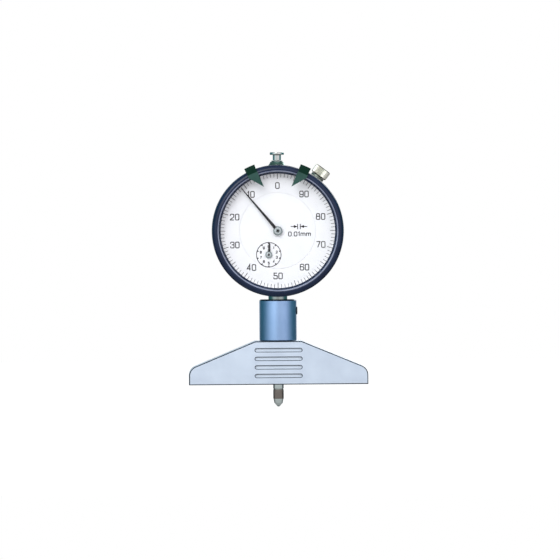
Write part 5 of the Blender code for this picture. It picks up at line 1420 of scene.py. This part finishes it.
def build_contact():
    centre = (0, CONTACT_LOW + CONTACT_BALL)
    nose = arc(centre, CONTACT_BALL, CONTACT_BALL_START, -math.pi / 2, CONTACT_BALL_STEPS)
    nose[-1] = (0, CONTACT_LOW)
    above, neck_top, neck_foot, below = CONTACT_NECK
    corners = [
        (0, CONTACT_TOP + CONTACT_STUD_LENGTH),
        (CONTACT_STUD_RADIUS, CONTACT_TOP + CONTACT_STUD_LENGTH),
        (CONTACT_STUD_RADIUS, CONTACT_TOP),
        (CONTACT_RADIUS, CONTACT_TOP, ROUND),
        (CONTACT_RADIUS, above, SOFT),
        (CONTACT_RADIUS - CONTACT_NECK_DEPTH, neck_top),
        (CONTACT_RADIUS - CONTACT_NECK_DEPTH, neck_foot),
        (CONTACT_RADIUS, below),
        (CONTACT_RADIUS, CONTACT_TAPER_TOP + CONTACT_TAPER_SHOULDER),
        (CONTACT_RADIUS - CONTACT_TAPER_INSET, CONTACT_TAPER_TOP, SOFT),
        (CONTACT_NOSE, CONTACT_NOSE_TOP, FINE),
        *nose,
    ]
    ends = (CONTACT_TAPER_TOP + CONTACT_KNURL_MARGIN, CONTACT_KNURL_TOP)

    def finish_of(_, height):
        # The ball tip takes the painted shade
        if height < CONTACT_TIP_TOP:
            return 2
        return int(CONTACT_TAPER_TOP < height < neck_foot)

    contact = lathe(
        "knurled_contact",
        corners,
        GAUGE,
        [CONTACT_STEEL, KNURL_STEEL, CONTACT_TIP_SHADE],
        2 * CONTACT_TEETH,
        (*ends, CONTACT_KNURL_DEPTH, CONTACT_RADIUS - KNURL_SLACK),
        finish_of,
    )
    settle(contact, "spindle_unit", "contact_steel", "contact_point")


# The studio


# Each lamp's name, place and width in metres, and its power in watts
LAMPS = (
    ("softbox", (-0.45, -1.17, 0.77), 0.9, 10.0),
    ("top", (0.05, -0.3, 0.75), 0.45, 0.25),
    ("behind", (0.5, 1.1, 0.8), 0.9, 9.0),
)
LAMP_TARGET = Vector((0, 0, 0.055))


def build_lights():
    for name, place, width, power in LAMPS:
        light = bpy.data.lights.new(name, "AREA")
        light.shape = "DISK"
        light.size = width
        light.energy = power
        lamp = bpy.data.objects.new(name, light)
        lamp.location = place
        lamp.rotation_euler = (LAMP_TARGET - Vector(place)).to_track_quat("-Z", "Y").to_euler()
        lamp.visible_camera = False
        bpy.context.scene.collection.objects.link(lamp)


# The room's light by direction: from 0 behind the gauge to 1 in front of it, and from the floor to the top
FRONT_LIGHT = (
    (0.0, (0.6, 0.64, 0.68)),
    (0.05, (0.4, 0.45, 0.48)),
    (0.12, (0.04, 0.12, 0.125)),
    (0.3, (0.055, 0.2, 0.21)),
    (0.54, (0.09, 0.25, 0.27)),
    (0.68, (0.38, 0.5, 0.55)),
    (0.82, (0.94, 0.97, 1.0)),
    (0.965, (1.0, 0.99, 1.0)),
    (1.0, (0.72, 0.7, 0.72)),
)
TOP_LIGHT = (
    (0.0, (0, 0, 0)),
    (0.7, (0, 0, 0)),
    (0.95, (0.2, 0.22, 0.23)),
    (1.0, (0.3, 0.32, 0.33)),
)
SIDE_TINT = (
    (0.0, (0.86, 0.98, 1.04)),
    (0.5, (0.96, 0.99, 1.03)),
    (1.0, (1.04, 0.98, 1.04)),
)
ROOM_STRENGTH = 1.5


def light_ramp(tree, source, stops, reach=(-1.0, 1.0)):
    """A ramp over a direction's share within a reach."""
    ramp = tree.nodes.new("ShaderNodeValToRGB")
    elements = ramp.color_ramp.elements
    while len(elements) < len(stops):
        elements.new(0.5)
    for element, (position, tone) in zip(elements, stops):
        element.position = position
        element.color = (*tone, 1)
    tree.links.new(spread(tree, source, reach, (0.0, 1.0)), ramp.inputs["Fac"])
    return ramp.outputs["Color"]


def blended(tree, kind, one, two):
    """Two colours in one: a colour mix takes them at its sockets 6 and 7 and gives them at its socket 2."""
    mix = tree.nodes.new("ShaderNodeMix")
    mix.data_type = "RGBA"
    mix.blend_type = kind
    mix.inputs["Factor"].default_value = 1.0
    tree.links.new(one, mix.inputs[6])
    tree.links.new(two, mix.inputs[7])
    return mix.outputs[2]


def build_world():
    """White where the camera looks past the gauge, and a soft room with dark sides to light it."""
    world = bpy.data.worlds.new("studio")
    bpy.context.scene.world = world
    world.use_nodes = True
    tree = world.node_tree
    tree.nodes.clear()
    new = tree.nodes.new
    link = tree.links.new
    output = new("ShaderNodeOutputWorld")
    choice = new("ShaderNodeMixShader")
    backdrop = new("ShaderNodeBackground")
    backdrop.inputs["Color"].default_value = (1, 1, 1, 1)
    room = new("ShaderNodeBackground")
    room.inputs["Strength"].default_value = ROOM_STRENGTH
    split = new("ShaderNodeSeparateXYZ")
    link(new("ShaderNodeTexCoord").outputs["Generated"], split.inputs["Vector"])
    front = light_ramp(tree, split.outputs["Y"], FRONT_LIGHT, (1.0, -1.0))
    top = light_ramp(tree, split.outputs["Z"], TOP_LIGHT)
    tint = light_ramp(tree, split.outputs["X"], SIDE_TINT)
    sides = blended(tree, "MULTIPLY", front, tint)
    link(blended(tree, "LIGHTEN", sides, top), room.inputs["Color"])
    link(new("ShaderNodeLightPath").outputs["Is Camera Ray"], choice.inputs["Fac"])
    link(room.outputs["Background"], choice.inputs[1])
    link(backdrop.outputs["Background"], choice.inputs[2])
    link(choice.outputs["Shader"], output.inputs["Surface"])


# Floor, with its size in millimetres and its strip of fading light in metres along the depth
FLOOR_RADIUS = 700
FLOOR_LOW = -1.0
FLOOR_TOP = -0.02
FLOOR_FADE = (0.012, -0.002)
FLOOR_LIGHT = 0.5
FLOOR_WHITE = 0.97
FLOOR_PATCHES = 6.0


def build_floor():
    """A pale floor: it looks almost white, and lights the gauge only from the front half."""
    surface = Surface("pale_floor", 0.0, 0.9, 0.1)
    tree = surface.tree
    surface.tint(surface.noise(FLOOR_PATCHES), (62, 62, 64), (68, 68, 70))
    surface.shader.inputs["Emission Color"].default_value = (1, 1, 1, 1)
    split = surface.node("ShaderNodeSeparateXYZ")
    surface.link(surface.place, split.inputs["Vector"])
    seen = surface.node("ShaderNodeLightPath").outputs["Is Camera Ray"]
    level = spread(tree, seen, (0.0, 1.0), (0.0, FLOOR_WHITE))
    front = spread(tree, split.outputs["Y"], FLOOR_FADE, (0.0, FLOOR_LIGHT))
    surface.link(front, level.node.inputs["To Min"])
    surface.link(level, surface.shader.inputs["Emission Strength"])
    scale = Matrix.Scale(MM, 4)
    rod("floor", FLOOR_RADIUS, FLOOR_LOW, FLOOR_TOP, scale, surface.material, RING_SIDES)


CAMERA_DISTANCE = 2.4
CAMERA_TURN = math.radians(-1.2)
CAMERA_RISE = math.radians(0.8)
CAMERA_ROLL = math.radians(-0.4)
LOOKED_AT = Vector((0.00078, DIAL_CENTRE.y - 0.009, 0.05322))
SEEN_WIDTH = 0.2341
CAMERA_SENSOR = 36.0
CAMERA_FAR = 20.0


def build_camera():
    """A long lens nearly straight ahead of the gauge, rolled as the photograph is."""
    camera = bpy.data.cameras.new("camera")
    camera.sensor_width = CAMERA_SENSOR
    camera.lens = camera.sensor_width * CAMERA_DISTANCE / SEEN_WIDTH
    camera.clip_end = CAMERA_FAR
    eye = bpy.data.objects.new("camera", camera)
    aim = Matrix.Translation(LOOKED_AT) @ Matrix.Rotation(CAMERA_TURN, 4, "Z")
    aim @= Matrix.Rotation(math.pi / 2 - CAMERA_RISE, 4, "X") @ Matrix.Rotation(CAMERA_ROLL, 4, "Z")
    eye.matrix_world = aim @ Matrix.Translation((0, 0, CAMERA_DISTANCE))
    bpy.context.scene.collection.objects.link(eye)
    bpy.context.scene.camera = eye


bpy.context.scene.view_settings.view_transform = "Standard"
build_camera()
build_world()
build_lights()
build_floor()
dress_nodes()
build_base()
build_sleeve()
build_stem()
build_case()
build_back_cover()
build_bezel()
build_dial()
build_pointer()
build_counter_hand()
build_limit_hands()
build_knob()
build_shoe()
build_spindle()
build_cap()
build_contact()

bpy.context.view_layer.update()
